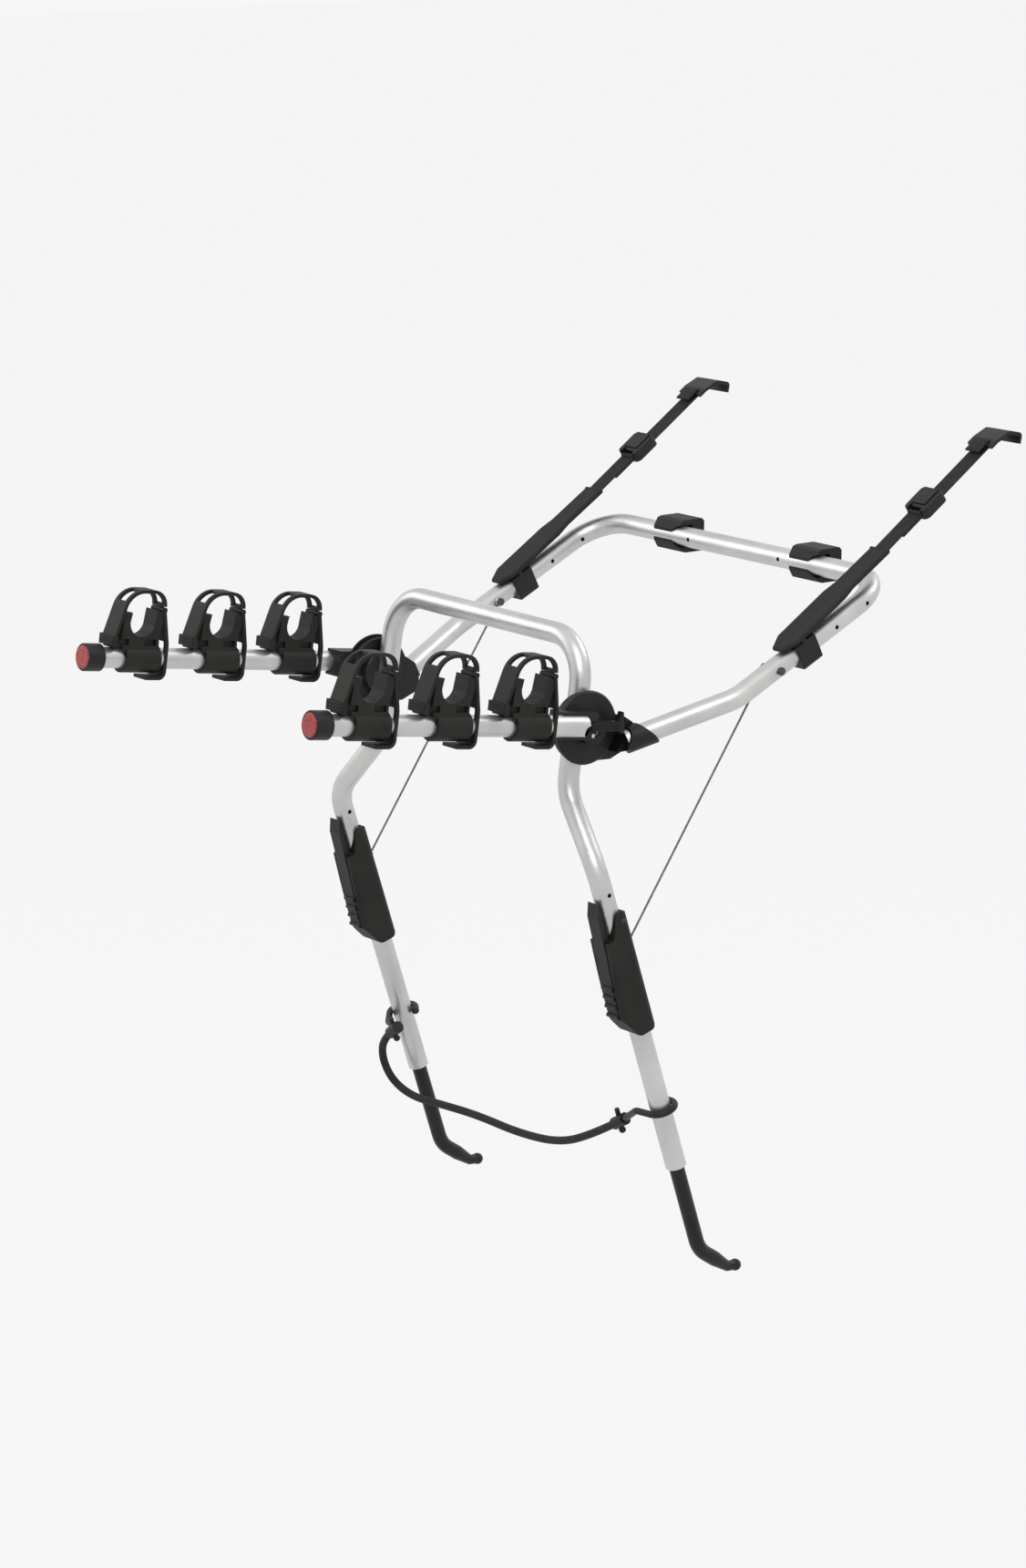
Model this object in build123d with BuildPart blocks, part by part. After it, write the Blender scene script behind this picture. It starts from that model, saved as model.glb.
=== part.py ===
from build123d import *
from math import atan2, cos, degrees, hypot, radians, sin, sqrt, tan
import os

# A folding bike rack for the back of a car. Millimetres, +Z up, +Y towards the car, arms towards -Y.
# The origin is the middle of the upper rail, which rests on the hatch through its two pads.

os.makedirs("parts", exist_ok=True)

overrun = 1.0
fit_gap = 0.15
running_gap = 0.05
part_gap = 0.3
sides = (("left", -1), ("right", 1))

# Tubes
tube_od = 28.0
tube_wall = 1.8
tube_radius = tube_od / 2
tube_bore = tube_radius - tube_wall
tube_seat = tube_radius + fit_gap

# Upper frame, places from the hub axis
rail_back = 481.0
rail_up = 142.0
upper_half = 306.0
upper_corner = 62.0
upper_elbow_back = 222.0
upper_elbow_up = 16.0
upper_end_half = 251.0
upper_end_back = 82.0
upper_end_up = -31.0
small_hole = 6.0
run_hole_first = 176.0
run_hole_second = 235.0
rail_hole_half = 96.5

# Main frame, places from the hub axis
main_half = 208.0
main_rail_back = 49.0
main_rail_up = 98.0
main_corner = 60.0
knee_back = 20.0
knee_drop = 98.0
leg_half = 290.0
leg_top_back = 6.0
leg_top_drop = 188.0
leg_end_back = 140.0
leg_end_drop = 606.0
leg_hole = 30.0

# Hubs, outwards from the middle plane, round an axle beside the posts
axle_back = 29.5
axle_up = -10.3
disc_radius = 48.5
disc_thickness = 5.0
disc_edge = 2.0
base_radius = 45.0
base_neck_radius = 30.0
base_inner = 211.0
base_neck = 11.5
base_thickness = 17.0
socket_thickness = 4.7
bolt_radius = 6.0
bolt_head_radius = 9.5
bolt_head = 4.5
bolt_well = 10.5
bolt_nut_radius = 10.0
bolt_nut = 4.0
boss_radius = 20.0
boss_depth = 18.7
boss_seat = 13.7
arm_seat = 28.7
grip_from = -26.0
grip_to = 30.0
grip_over = 2.0
grip_wall = 3.5
index_radius = 7.5
index_drop = 5.0
index_depth = 8.0
lug_clear = 52.0
lug_back = 70.0
lug_up = 2.0
lug_down = 36.0
lug_foot = 35.0
lug_tooth_back = 41.5
lug_tooth_down = 47.0
lug_wall = 3.5
lug_before = 2.0
lug_reach = 42.0
lug_cut = 64.0
lug_cut_reach = 60.0

# Hub lever
lever_width = 13.0
lever_depth = 9.0
lever_seat = 19.7
lever_slot = 15.0
lever_from = 21.0
lever_to = 66.0
lever_rib = 1.2
lever_pin_radius = 2.5
lever_turn_radius = 5.8
lever_fin = 4.5
lever_fin_up = 19.0
lever_fin_down = 9.0
# Arms
arm_tilt = 7.7
arm_start = -6.0
arm_length = 418.0
cap_radius = 18.5
cap_length = 24.0
cap_over = 20.0
reflector_radius = 15.5
reflector_thickness = 2.5
reflector_rim = 1.2

# Cradles, measured along the arm from the hub and up from the arm's middle
cradle_first = 85.0
cradle_end_gap = 83.0
cradle_count = 3
sleeve_radius = 19.5
sleeve_front = 30.0
sleeve_back = 19.0
horn_width = 28.0
trough_middle = 8.0
trough_radius = 19.0
trough_floor = 30.0
front_horn_wall = 12.0
front_horn_top = 62.0
back_horn_wall = 9.0
back_horn_top = 66.0
foot_front = 33.0
foot_up = 8.0
web_pocket = 4.0

# Cradle straps
strap_width = 30.0
strap_thickness = 4.5
strap_tab_width = 36.0
strap_top = 90.0
strap_lean = 9.0
strap_toe = 15.0
strap_bulge = 11.0
strap_corner = 9.0
strap_back_round = 18.0
strap_front_round = 30.0
strap_slot_width = 18.0
strap_slot_length = 24.0
strap_slot_depth = 16.0
front_slot_in = 4.4
front_slot_down = 5.9
front_slot_turn = -36.5
back_slot_in = 5.3
back_slot_turn = 45.0
strap_curl = 25.0
strap_curl_end = 4.0
band_bulge = 13.0
band_low = 20.0
band_round = 20.0
band_slot_length = 28.0
band_slot_middle = 10.0
hinge_up = 66.0
hinge_radius = 3.7
hinge_clear = 1.2
hinge_middle = 14.0
hinge_pin_radius = 1.5
# Leg tensioners, measured down the leg from its top bend
housing_top = 53.0
housing_notch = 89.0
housing_bottom = 231.0
housing_width = 38.0
housing_back = 18.0
housing_front = 25.0
housing_belly = 33.0
housing_round = 11.0
housing_lobe = 9.0
housing_heel = 12.0
housing_toe = 30.0
housing_lobe_start = 4.0
trigger_width = 22.0
trigger_tip = 35.0
trigger_pin_place = 118.0
trigger_pin_radius = 2.5
trigger_end = 197.0
trigger_front = 28.0
trigger_belly = 37.0
trigger_seat = 17.5
trigger_rib = 3.0
trigger_ribs = 4
trigger_rib_pitch = 13.0
housing_screw_place = 70.0
housing_screw_radius = 3.5

# Steel cables
cable_radius = 1.5
cable_place = 111.0
cable_run_place = 69.0
cable_eye_radius = 6.5
cable_eye_thickness = 3.0
cable_bolt_radius = 3.0
cable_bolt_head_radius = 5.5
cable_bolt_head = 3.5
cable_boss = 3.6
cable_boss_length = 6.0

# Lower hooks, measured down the leg from its end
hook_radius = 10.2
hook_inside = 45.0
hook_shank = 131.0
hook_foot = 34.0
hook_turn = 38.0
hook_bend = 42.0
hook_ball = 8.2
hook_taper = 26.0
hook_neck = 7.0
hook_toe = 14.0
hook_toe_turn = 30.0

# Cord clips and the cord
clip_place = 350.0
clip_rod_radius = 4.6
clip_bend = 14.0
clip_neck = 27.0
clip_tip = 8.0
ferrule_radius = 8.5
ferrule_length = 26.0
ferrule_hold = 9.0
clip_prong_radius = 3.4
clip_prong = 19.0
clip_ball = 4.8
cord_radius = 5.5
cord_route = [
    (-253.0, -411.0, -677.0),
    (-284.0, -407.0, -697.0),
    (-300.0, -397.0, -731.0),
    (-289.0, -387.0, -763.0),
    (-251.0, -379.0, -779.0),
    (-196.0, -373.0, -777.0),
    (-114.0, -368.0, -774.0),
    (-18.0, -366.0, -777.0),
    (74.0, -366.0, -767.0),
    (146.0, -366.0, -736.0),
    (199.0, -366.0, -706.0),
]

# Rail pads
pad_middle = 146.0
pad_width = 54.0
pad_jaw = 9.0
pad_back = 34.0
pad_slot = 11.0
pad_scoop = 15.5
pad_scoop_depth = 27.0
pad_edge = 4.0

# Strap saddles, measured along the upper frame's run from its elbow
saddle_place = 120.0
saddle_length = 34.0
saddle_width = 36.0
saddle_low = 20.5
saddle_high = 16.5
saddle_edge = 5.0
saddle_slot = 15.0
ear_place = 118.0
ear_radius = 3.2
pin_radius = 1.6

# Hatch straps
belt_pitch = 33.0
sleeve_tail = 32.0
sleeve_tail_width = 20.0
sleeve_wide_end = 82.0
sleeve_end = 176.0
sleeve_wide = 42.0
sleeve_narrow = 34.0
sleeve_thickness = 6.0
sleeve_edge = 2.0
belt_width = 25.0
belt_thickness = 2.4
belt_gap = 0.4
bar_radius = 0.6
web_pitch = 35.0
buckle_place = 97.0
buckle_length = 44.0
buckle_width = 40.0
buckle_floor = 3.0
buckle_wall = 5.5
buckle_rise = 7.0
buckle_corner = 8.0
cam_radius = 4.2
cam_place = 10.0
cam_pin_radius = 2.0
cam_lever_length = 30.0
cam_lever_thickness = 3.5
web_tail = 62.0
hook_place = 117.0
hook_plate_length = 37.0
hook_plate_width = 46.0
hook_plate = 4.5
hook_top = 21.0
hook_lip = 13.0
hook_slot_place = 9.0
hook_bow_turn = 46.0
web_fold = 24.0
hook_edge = 6.0


def spot(x, y, z):
    return Vector(x, y - rail_back, z - rail_up)


def direction(start, end):
    return (Vector(*end) - Vector(*start)).normalized()


def side_plane(x, y=0.0, z=0.0):
    return Plane(origin=spot(x, y, z), x_dir=(0, 1, 0), z_dir=(1, 0, 0))


def keep(part, label):
    part.label = label
    export_step(part, f"parts/{label}.step")


def side_view(x, start, end, along=0.0, over=0.0):
    # Local x runs from start to end in the side view, local y is to its left, seen from +X.
    run = direction((0, *start), (0, *end))
    place = spot(x, *start) + run * along + run.rotate(Axis.X, 90) * over
    return Plane(origin=place, x_dir=run, z_dir=(1, 0, 0))


def cross_view(x, start, end, along=0.0, over=0.0):
    # Looks along the run from start to end, with local x as -X and local y as in side_view.
    view = side_view(x, start, end, along, over)
    return Plane(origin=view.origin, x_dir=(-1, 0, 0), z_dir=view.x_dir)


def arm_view(x, out=0.0, up=0.0):
    # Local x runs out along the arm, local y upwards from it, and the normal is -X.
    return Plane(origin=arm_point(x, out, up), x_dir=arm_out, z_dir=(-1, 0, 0))


def arm_cross(x, out=0.0, up=0.0):
    return Plane(origin=arm_point(x, out, up), x_dir=(1, 0, 0), z_dir=arm_out)


def arm_point(x, out, up=0.0):
    return spot(x, 0, 0) + arm_out * out + arm_up * up


def tube_ring(line):
    with BuildSketch(Plane(origin=line @ 0, z_dir=line % 0)) as ring:
        Circle(tube_radius)
        Circle(tube_bore, mode=Mode.SUBTRACT)
    return ring.sketch


arm_out = Vector(0, -cos(radians(arm_tilt)), sin(radians(arm_tilt)))
arm_up = Vector(0, sin(radians(arm_tilt)), cos(radians(arm_tilt)))
elbow = (upper_elbow_back, upper_elbow_up)
rail = (rail_back, rail_up)
knee = (knee_back, -knee_drop)
main_rail = (main_rail_back, main_rail_up)
cradle_pitch = (arm_length - cradle_first - cradle_end_gap) / (cradle_count - 1)
leg_top = (leg_top_back, -leg_top_drop)
leg_end = (leg_end_back, -leg_end_drop)
leg_length = hypot(leg_end[0] - leg_top[0], leg_end[1] - leg_top[1])
leg_run = direction((0, *leg_top), (0, *leg_end))
leg_side = leg_run.rotate(Axis.X, 90)
run_way = direction((0, *elbow), (0, *rail))
run_side = run_way.rotate(Axis.X, 90)
hook_bow = radians(hook_bow_turn)
cable_eye_half = upper_half - tube_radius - fit_gap - cable_eye_thickness / 2

base_outer = base_inner + base_thickness
socket_inner = base_outer + part_gap
socket_outer = socket_inner + socket_thickness
hub_inner = socket_outer + part_gap
arm_half = hub_inner + arm_seat
grip_depth = arm_seat + grip_over
lever_base = hub_inner + lever_seat


def rod(start, end, radius):
    with BuildSketch(Plane(origin=start, z_dir=end - start)) as disc:
        Circle(radius)
    extrude(disc.sketch, amount=(end - start).length)


def cable_line(sign):
    # The cable's two ends and its direction, from the leg up to the upper frame.
    lower = spot(sign * leg_half, *leg_top) + leg_run * cable_place + leg_side * housing_back
    upper = spot(sign * cable_eye_half, *elbow) + run_way * cable_run_place
    return lower, upper, (upper - lower).normalized()


# Upper frame tube
with BuildPart() as upper_tube:
    for _, sign in sides:
        with BuildLine() as upper_line:
            FilletPolyline(
                spot(0, *rail),
                spot(sign * upper_half, *rail),
                spot(sign * upper_half, *elbow),
                spot(sign * upper_end_half, upper_end_back, upper_end_up),
                radius=upper_corner,
            )
        sweep(sections=tube_ring(upper_line.line), path=upper_line.line)
    for place in (run_hole_first, run_hole_second):
        with BuildSketch(side_view(0, elbow, rail)):
            with Locations((place, 0)):
                Circle(small_hole / 2)
        extrude(amount=upper_half + tube_od, both=True, mode=Mode.SUBTRACT)
    with BuildSketch(Plane.XZ.offset(tube_radius + overrun)):
        with Locations((-rail_hole_half, 0), (rail_hole_half, 0)):
            Circle(small_hole / 2)
    extrude(amount=-tube_radius, mode=Mode.SUBTRACT)
    with BuildSketch(side_view(0, elbow, rail)):
        with Locations((cable_run_place, 0)):
            Circle(cable_bolt_radius + running_gap)
    extrude(amount=upper_half + tube_od, both=True, mode=Mode.SUBTRACT)
keep(upper_tube.part, "upper_frame_tube")

# Main frame tube
with BuildPart() as main_tube:
    for _, sign in sides:
        with BuildLine() as main_line:
            FilletPolyline(
                spot(0, main_rail_back, main_rail_up),
                spot(sign * main_half, main_rail_back, main_rail_up),
                spot(sign * main_half, knee_back, -knee_drop),
                spot(sign * leg_half, *leg_top),
                spot(sign * leg_half, *leg_end),
                radius=main_corner,
            )
        sweep(sections=tube_ring(main_line.line), path=main_line.line)
    with BuildSketch(side_view(0, leg_top, leg_end)):
        with Locations((leg_hole, 0)):
            Circle(small_hole / 2)
    extrude(amount=leg_half + tube_od, both=True, mode=Mode.SUBTRACT)
keep(main_tube.part, "main_frame_tube")

# Hub bases on the main frame
for side, sign in sides:
    with BuildPart() as base:
        with BuildSketch(side_plane(sign * base_inner, axle_back, axle_up)):
            Circle(base_neck_radius)
        extrude(amount=sign * base_thickness)
        chamfer(base.faces().sort_by(Axis.X)[0 if sign > 0 else -1].outer_wire().edges(), disc_edge)
        with BuildSketch(side_plane(sign * (base_inner + base_neck), axle_back, axle_up)):
            Circle(base_radius)
        extrude(amount=sign * (base_thickness - base_neck))
        with BuildSketch(side_plane(sign * base_inner, axle_back, axle_up)):
            Circle(bolt_radius + running_gap)
        extrude(amount=sign * base_thickness, mode=Mode.SUBTRACT)
        with BuildSketch(cross_view(sign * main_half, knee, main_rail)):
            Circle(tube_seat)
        extrude(amount=main_rail_up + knee_drop, mode=Mode.SUBTRACT)
        with BuildSketch(side_plane(sign * base_outer, axle_back, axle_up)):
            RegularPolygon(bolt_nut_radius + part_gap, 6)
        extrude(amount=-sign * bolt_nut, mode=Mode.SUBTRACT)
    keep(base.part, f"{side}_hub_base")
# Hub bolts, each with its nut
with BuildPart() as bolts:
    for _, sign in sides:
        with BuildSketch(side_plane(sign * base_outer, axle_back, axle_up)):
            RegularPolygon(bolt_nut_radius, 6)
        extrude(amount=-sign * bolt_nut)
        with BuildSketch(side_plane(sign * (base_outer - bolt_nut), axle_back, axle_up)):
            Circle(bolt_radius)
        extrude(amount=sign * (hub_inner + boss_seat - base_outer + bolt_nut))
        with BuildSketch(side_plane(sign * (hub_inner + boss_seat), axle_back, axle_up)):
            Circle(bolt_head_radius)
        extrude(amount=sign * bolt_head)
        with BuildSketch(side_plane(sign * (hub_inner + boss_seat + bolt_head), axle_back, axle_up)):
            RegularPolygon(bolt_head_radius / 2, 6)
        extrude(amount=-sign * bolt_head / 2, mode=Mode.SUBTRACT)
keep(bolts.part, "hub_bolts")
# Sockets that join the upper frame to the hubs
upper_end = Vector(upper_end_half, upper_end_back, upper_end_up)
for side, sign in sides:
    end = spot(sign * upper_end.X, upper_end.Y, upper_end.Z)
    towards = direction((sign * upper_end.X, upper_end.Y, upper_end.Z), (sign * upper_half, *elbow))
    lug = Plane(origin=end, x_dir=(1, 0, 0), z_dir=towards)
    with BuildPart() as socket:
        with BuildSketch(side_plane(sign * socket_inner, axle_back, axle_up)):
            Circle(base_radius)
        extrude(amount=sign * socket_thickness)
        with BuildSketch(side_plane(sign * socket_inner, axle_back, axle_up)):
            with BuildLine():
                Polyline(
                    (0, base_radius),
                    (lug_cut, lug_up),
                    (lug_back, -lug_down / 3),
                    (lug_back, -lug_down),
                    (lug_tooth_back, -lug_tooth_down),
                    (0, -base_radius),
                    close=True,
                )
            make_face()
        extrude(amount=sign * socket_thickness)
        # The block outside the plate stops above the tooth, so that the folded arm's grip clears it.
        with BuildSketch(side_plane(sign * socket_inner, axle_back, axle_up)):
            with BuildLine():
                Polyline(
                    (0, base_radius),
                    (lug_cut, lug_up),
                    (lug_back, -lug_down / 3),
                    (lug_back, -lug_foot),
                    (0, -lug_foot),
                    close=True,
                )
            make_face()
        extrude(amount=sign * (upper_end_half - socket_inner))
        with BuildSketch(lug.offset(-lug_before)):
            Circle(tube_radius + lug_wall)
        extrude(amount=lug_reach)
        with BuildSketch(side_plane(sign * (hub_inner - part_gap), axle_back, axle_up)):
            Circle(lug_clear)
        extrude(amount=sign * arm_half, mode=Mode.SUBTRACT)
        with BuildSketch(side_plane(0, axle_back, axle_up)):
            with BuildLine():
                Polyline(
                    (lug_cut, lug_up),
                    (lug_cut + lug_cut_reach, lug_up - lug_cut_reach),
                    (lug_cut + lug_cut_reach, lug_cut_reach),
                    (lug_cut, lug_cut_reach),
                    close=True,
                )
            make_face()
        extrude(amount=sign * (upper_half + tube_od), mode=Mode.SUBTRACT)
        with BuildSketch(lug):
            Circle(tube_seat)
        extrude(amount=lug_reach * 2, mode=Mode.SUBTRACT)
        with BuildSketch(side_plane(sign * socket_inner, axle_back, axle_up)):
            Circle(bolt_radius + running_gap)
        extrude(amount=sign * socket_thickness, mode=Mode.SUBTRACT)
    keep(socket.part, f"{side}_frame_socket")

# Arm hubs, tubes, caps, reflectors and the levers in the hubs
cap_start = arm_length - cap_over


def lever_pin_view(sign):
    place = arm_point(sign * (lever_base + lever_depth / 2), -lever_from)
    return Plane(origin=place, x_dir=(1, 0, 0), z_dir=arm_up)


for side, sign in sides:
    with BuildPart() as hub:
        with BuildSketch(side_plane(sign * hub_inner, axle_back, axle_up)):
            Circle(disc_radius)
        extrude(amount=sign * disc_thickness)
        chamfer(hub.faces().sort_by(Axis.X)[-1 if sign > 0 else 0].outer_wire().edges(), disc_edge)
        with BuildSketch(side_plane(sign * hub_inner, axle_back, axle_up)):
            Circle(boss_radius)
        extrude(amount=sign * boss_depth)
        with BuildSketch(arm_view(sign * hub_inner)):
            with Locations(((grip_from + grip_to) / 2, 0)):
                Rectangle(grip_to - grip_from, 2 * (tube_seat + grip_wall))
        extrude(amount=-sign * grip_depth)
        with BuildSketch(arm_cross(sign * arm_half, arm_start - fit_gap)):
            Circle(tube_seat)
        extrude(amount=disc_radius * 2, mode=Mode.SUBTRACT)
        with BuildSketch(arm_view(sign * (arm_half - index_depth))):
            with Locations((arm_start, -index_drop)):
                Circle(index_radius)
        extrude(amount=-sign * grip_depth, mode=Mode.SUBTRACT)
        with BuildSketch(side_plane(sign * (hub_inner + boss_seat), axle_back, axle_up)):
            Circle(bolt_well)
        extrude(amount=sign * grip_depth, mode=Mode.SUBTRACT)
        with BuildSketch(side_plane(sign * hub_inner, axle_back, axle_up)):
            Circle(bolt_radius + running_gap)
        extrude(amount=sign * grip_depth, mode=Mode.SUBTRACT)
        with BuildSketch(arm_view(sign * lever_base)):
            with Locations((grip_from, 0)):
                Rectangle(2 * (-grip_from - lever_slot), lever_width + 2 * part_gap)
        extrude(amount=-sign * grip_depth, mode=Mode.SUBTRACT)
        with BuildSketch(lever_pin_view(sign)):
            Circle(lever_turn_radius)
        extrude(amount=lever_width / 2 + part_gap, both=True, mode=Mode.SUBTRACT)
        with BuildSketch(lever_pin_view(sign)):
            Circle(lever_pin_radius + running_gap)
        extrude(amount=lever_width, both=True, mode=Mode.SUBTRACT)
    keep(hub.part, f"{side}_arm_hub")

    with BuildPart() as arm:
        with BuildSketch(arm_cross(sign * arm_half, arm_start)):
            Circle(tube_radius)
            Circle(tube_bore, mode=Mode.SUBTRACT)
        extrude(amount=arm_length - arm_start)
        with BuildSketch(arm_view(sign * (arm_half - index_depth))):
            with Locations((arm_start, -index_drop)):
                Circle(index_radius)
        extrude(amount=-sign * tube_od, mode=Mode.SUBTRACT)
    keep(arm.part, f"{side}_arm_tube")

    with BuildPart() as cap:
        with BuildSketch(arm_cross(sign * arm_half, cap_start)):
            Circle(cap_radius)
        extrude(amount=cap_length)
        fillet(cap.edges().sort_by(Axis.Y)[0], reflector_rim)
        with BuildSketch(arm_cross(sign * arm_half, cap_start)):
            Circle(tube_seat)
        extrude(amount=cap_over + fit_gap, mode=Mode.SUBTRACT)
        with BuildSketch(arm_cross(sign * arm_half, cap_start + cap_length)):
            Circle(reflector_radius + fit_gap)
        extrude(amount=-reflector_rim, mode=Mode.SUBTRACT)
    keep(cap.part, f"{side}_end_cap")

    with BuildPart() as reflector:
        with BuildSketch(arm_cross(sign * arm_half, cap_start + cap_length - reflector_rim)):
            Circle(reflector_radius)
        extrude(amount=reflector_thickness)
        fillet(reflector.edges().sort_by(Axis.Y)[0], reflector_thickness - reflector_rim)
    keep(reflector.part, f"{side}_reflector")

    with BuildPart() as lever:
        with BuildSketch(arm_view(sign * (lever_base + part_gap))):
            with Locations((-(lever_from + lever_to) / 2, 0)):
                Rectangle(lever_to - lever_from + lever_pin_radius * 2, lever_width)
            with BuildLine():
                Polyline(
                    (lever_fin - lever_to, lever_width / 2 - part_gap),
                    (-lever_to, lever_fin_up),
                    (-lever_to - lever_fin / 2, lever_fin_up),
                    (-lever_to - lever_fin, lever_width / 2),
                    (-lever_to - lever_fin * 1.5, part_gap),
                    (-lever_to - lever_fin, -lever_fin_down),
                    (-lever_to, -lever_fin_down),
                    close=True,
                )
            make_face()
        extrude(amount=-sign * lever_depth)
        with BuildSketch(arm_view(sign * (lever_base + part_gap + lever_depth))):
            with Locations((-(lever_from + lever_to) / 2, 0)):
                with GridLocations(0, lever_width / 3, 1, 3):
                    Rectangle(lever_to - lever_from, lever_rib)
        extrude(amount=-sign * lever_rib)
        with BuildSketch(lever_pin_view(sign)):
            Circle(lever_pin_radius)
        extrude(amount=lever_width - part_gap, both=True)
    keep(lever.part, f"{side}_hub_lever")

# Cradles
for side, sign in sides:
    for number in range(1, cradle_count + 1):
        middle = cradle_first + (number - 1) * cradle_pitch
        frame = arm_view(sign * arm_half, middle)
        trough_front = trough_middle + trough_radius
        trough_back = trough_middle - trough_radius
        front_face = trough_front + front_horn_wall
        back_face = trough_back - back_horn_wall
        trough_centre = trough_floor + trough_radius
        hinge = (back_face - strap_thickness, hinge_up)
        with BuildPart() as cradle:
            with BuildSketch(frame):
                with BuildLine():
                    Polyline(
                        (trough_back, trough_centre),
                        (trough_back - strap_thickness / 2, back_horn_top),
                        (back_face - strap_thickness, back_horn_top - strap_thickness),
                        (back_face - strap_thickness * 1.2, trough_centre + strap_thickness),
                        (-sleeve_back, trough_floor),
                        (-sleeve_back, 0),
                        (sleeve_front, 0),
                        (foot_front, foot_up),
                        (front_face, trough_floor - strap_thickness),
                        (front_face - strap_thickness / 2, front_horn_top - strap_thickness),
                        (front_face - strap_thickness, front_horn_top),
                        (trough_front - strap_thickness / 2, front_horn_top),
                        (trough_front, trough_centre),
                    )
                    ThreePointArc(
                        (trough_front, trough_centre),
                        (trough_middle, trough_floor),
                        (trough_back, trough_centre),
                    )
                make_face()
            extrude(amount=horn_width / 2, both=True)
            with BuildSketch(arm_cross(sign * arm_half, middle - sleeve_back - strap_thickness)):
                Circle(sleeve_radius)
            extrude(amount=sleeve_back + sleeve_front + strap_thickness)
            with BuildSketch(frame.offset(horn_width / 2)):
                with Locations((front_face - front_horn_wall / 2, trough_floor / 2 + foot_up)):
                    Rectangle(front_horn_wall, foot_up)
                with Locations((trough_back + back_horn_wall / 2, trough_floor / 2 + foot_up)):
                    Rectangle(back_horn_wall * 2, foot_up)
            extrude(amount=-web_pocket, mode=Mode.SUBTRACT)
            with BuildSketch(frame.offset(-horn_width / 2)):
                with Locations((front_face - front_horn_wall / 2, trough_floor / 2 + foot_up)):
                    Rectangle(front_horn_wall, foot_up)
                with Locations((trough_back + back_horn_wall / 2, trough_floor / 2 + foot_up)):
                    Rectangle(back_horn_wall * 2, foot_up)
            extrude(amount=web_pocket, mode=Mode.SUBTRACT)
            with BuildSketch(frame):
                with BuildLine():
                    FilletPolyline(
                        hinge,
                        (back_face - band_bulge, band_low),
                        (back_face - band_bulge + part_gap, -strap_curl),
                        (-strap_curl_end, -strap_curl),
                        radius=[band_round, strap_corner],
                    )
                trace(line_width=strap_thickness)
            extrude(amount=strap_width / 2, both=True)
            with BuildSketch(frame):
                with Locations((back_face - band_bulge, band_slot_middle)):
                    Rectangle(strap_thickness * 2, band_slot_length)
            extrude(amount=strap_slot_width / 2, both=True, mode=Mode.SUBTRACT)
            with BuildSketch(frame):
                with Locations(hinge):
                    Circle(hinge_radius)
            extrude(amount=strap_width / 2, both=True)
            with BuildSketch(frame):
                with Locations(hinge):
                    Circle(hinge_radius + hinge_clear)
            extrude(amount=hinge_middle / 2, both=True, mode=Mode.SUBTRACT)
            with BuildSketch(frame):
                with Locations(hinge):
                    Circle(hinge_pin_radius)
            extrude(amount=hinge_middle, both=True)
            with BuildSketch(arm_cross(sign * arm_half, middle - sleeve_back * 2)):
                Circle(tube_seat)
            extrude(amount=sleeve_back * 2 + front_face, mode=Mode.SUBTRACT)
        keep(cradle.part, f"{side}_cradle_{number}")

        front_top = front_face - strap_lean
        slots = (
            (front_top - front_slot_in, strap_top - front_slot_down, front_slot_turn),
            (hinge[0] + back_slot_in, strap_top - back_slot_in, back_slot_turn),
        )
        with BuildPart() as strap:
            with BuildSketch(frame):
                with BuildLine():
                    FilletPolyline(
                        hinge,
                        (hinge[0], strap_top),
                        (front_top, strap_top),
                        (front_face + strap_bulge, strap_toe + strap_corner),
                        (front_face + strap_bulge - strap_thickness, strap_toe),
                        radius=[strap_back_round, strap_front_round, strap_corner],
                    )
                trace(line_width=strap_thickness)
            extrude(amount=strap_width / 2, both=True)
            for along, up, turn in slots:
                with BuildSketch(frame):
                    with Locations((along, up)):
                        Rectangle(strap_slot_length, strap_slot_depth, rotation=turn)
                extrude(amount=strap_slot_width / 2, both=True, mode=Mode.SUBTRACT)
            with BuildSketch(frame):
                with Locations((front_face + strap_bulge, strap_toe + strap_corner)):
                    Rectangle(strap_thickness * 1.5, strap_corner * 1.5)
            extrude(amount=strap_tab_width / 2, both=True)
            with BuildSketch(frame):
                with Locations(hinge):
                    Circle(hinge_radius + hinge_clear)
            extrude(amount=strap_width, both=True, mode=Mode.SUBTRACT)
            with BuildSketch(frame):
                with Locations(hinge):
                    Circle(hinge_radius)
                with Locations((hinge[0], hinge[1] + hinge_radius)):
                    Rectangle(strap_thickness, hinge_radius * 2)
            extrude(amount=hinge_middle / 2 - part_gap, both=True)
            with BuildSketch(frame):
                with Locations(hinge):
                    Circle(hinge_pin_radius + running_gap)
            extrude(amount=strap_width, both=True, mode=Mode.SUBTRACT)
        keep(strap.part, f"{side}_cradle_strap_{number}")

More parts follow.
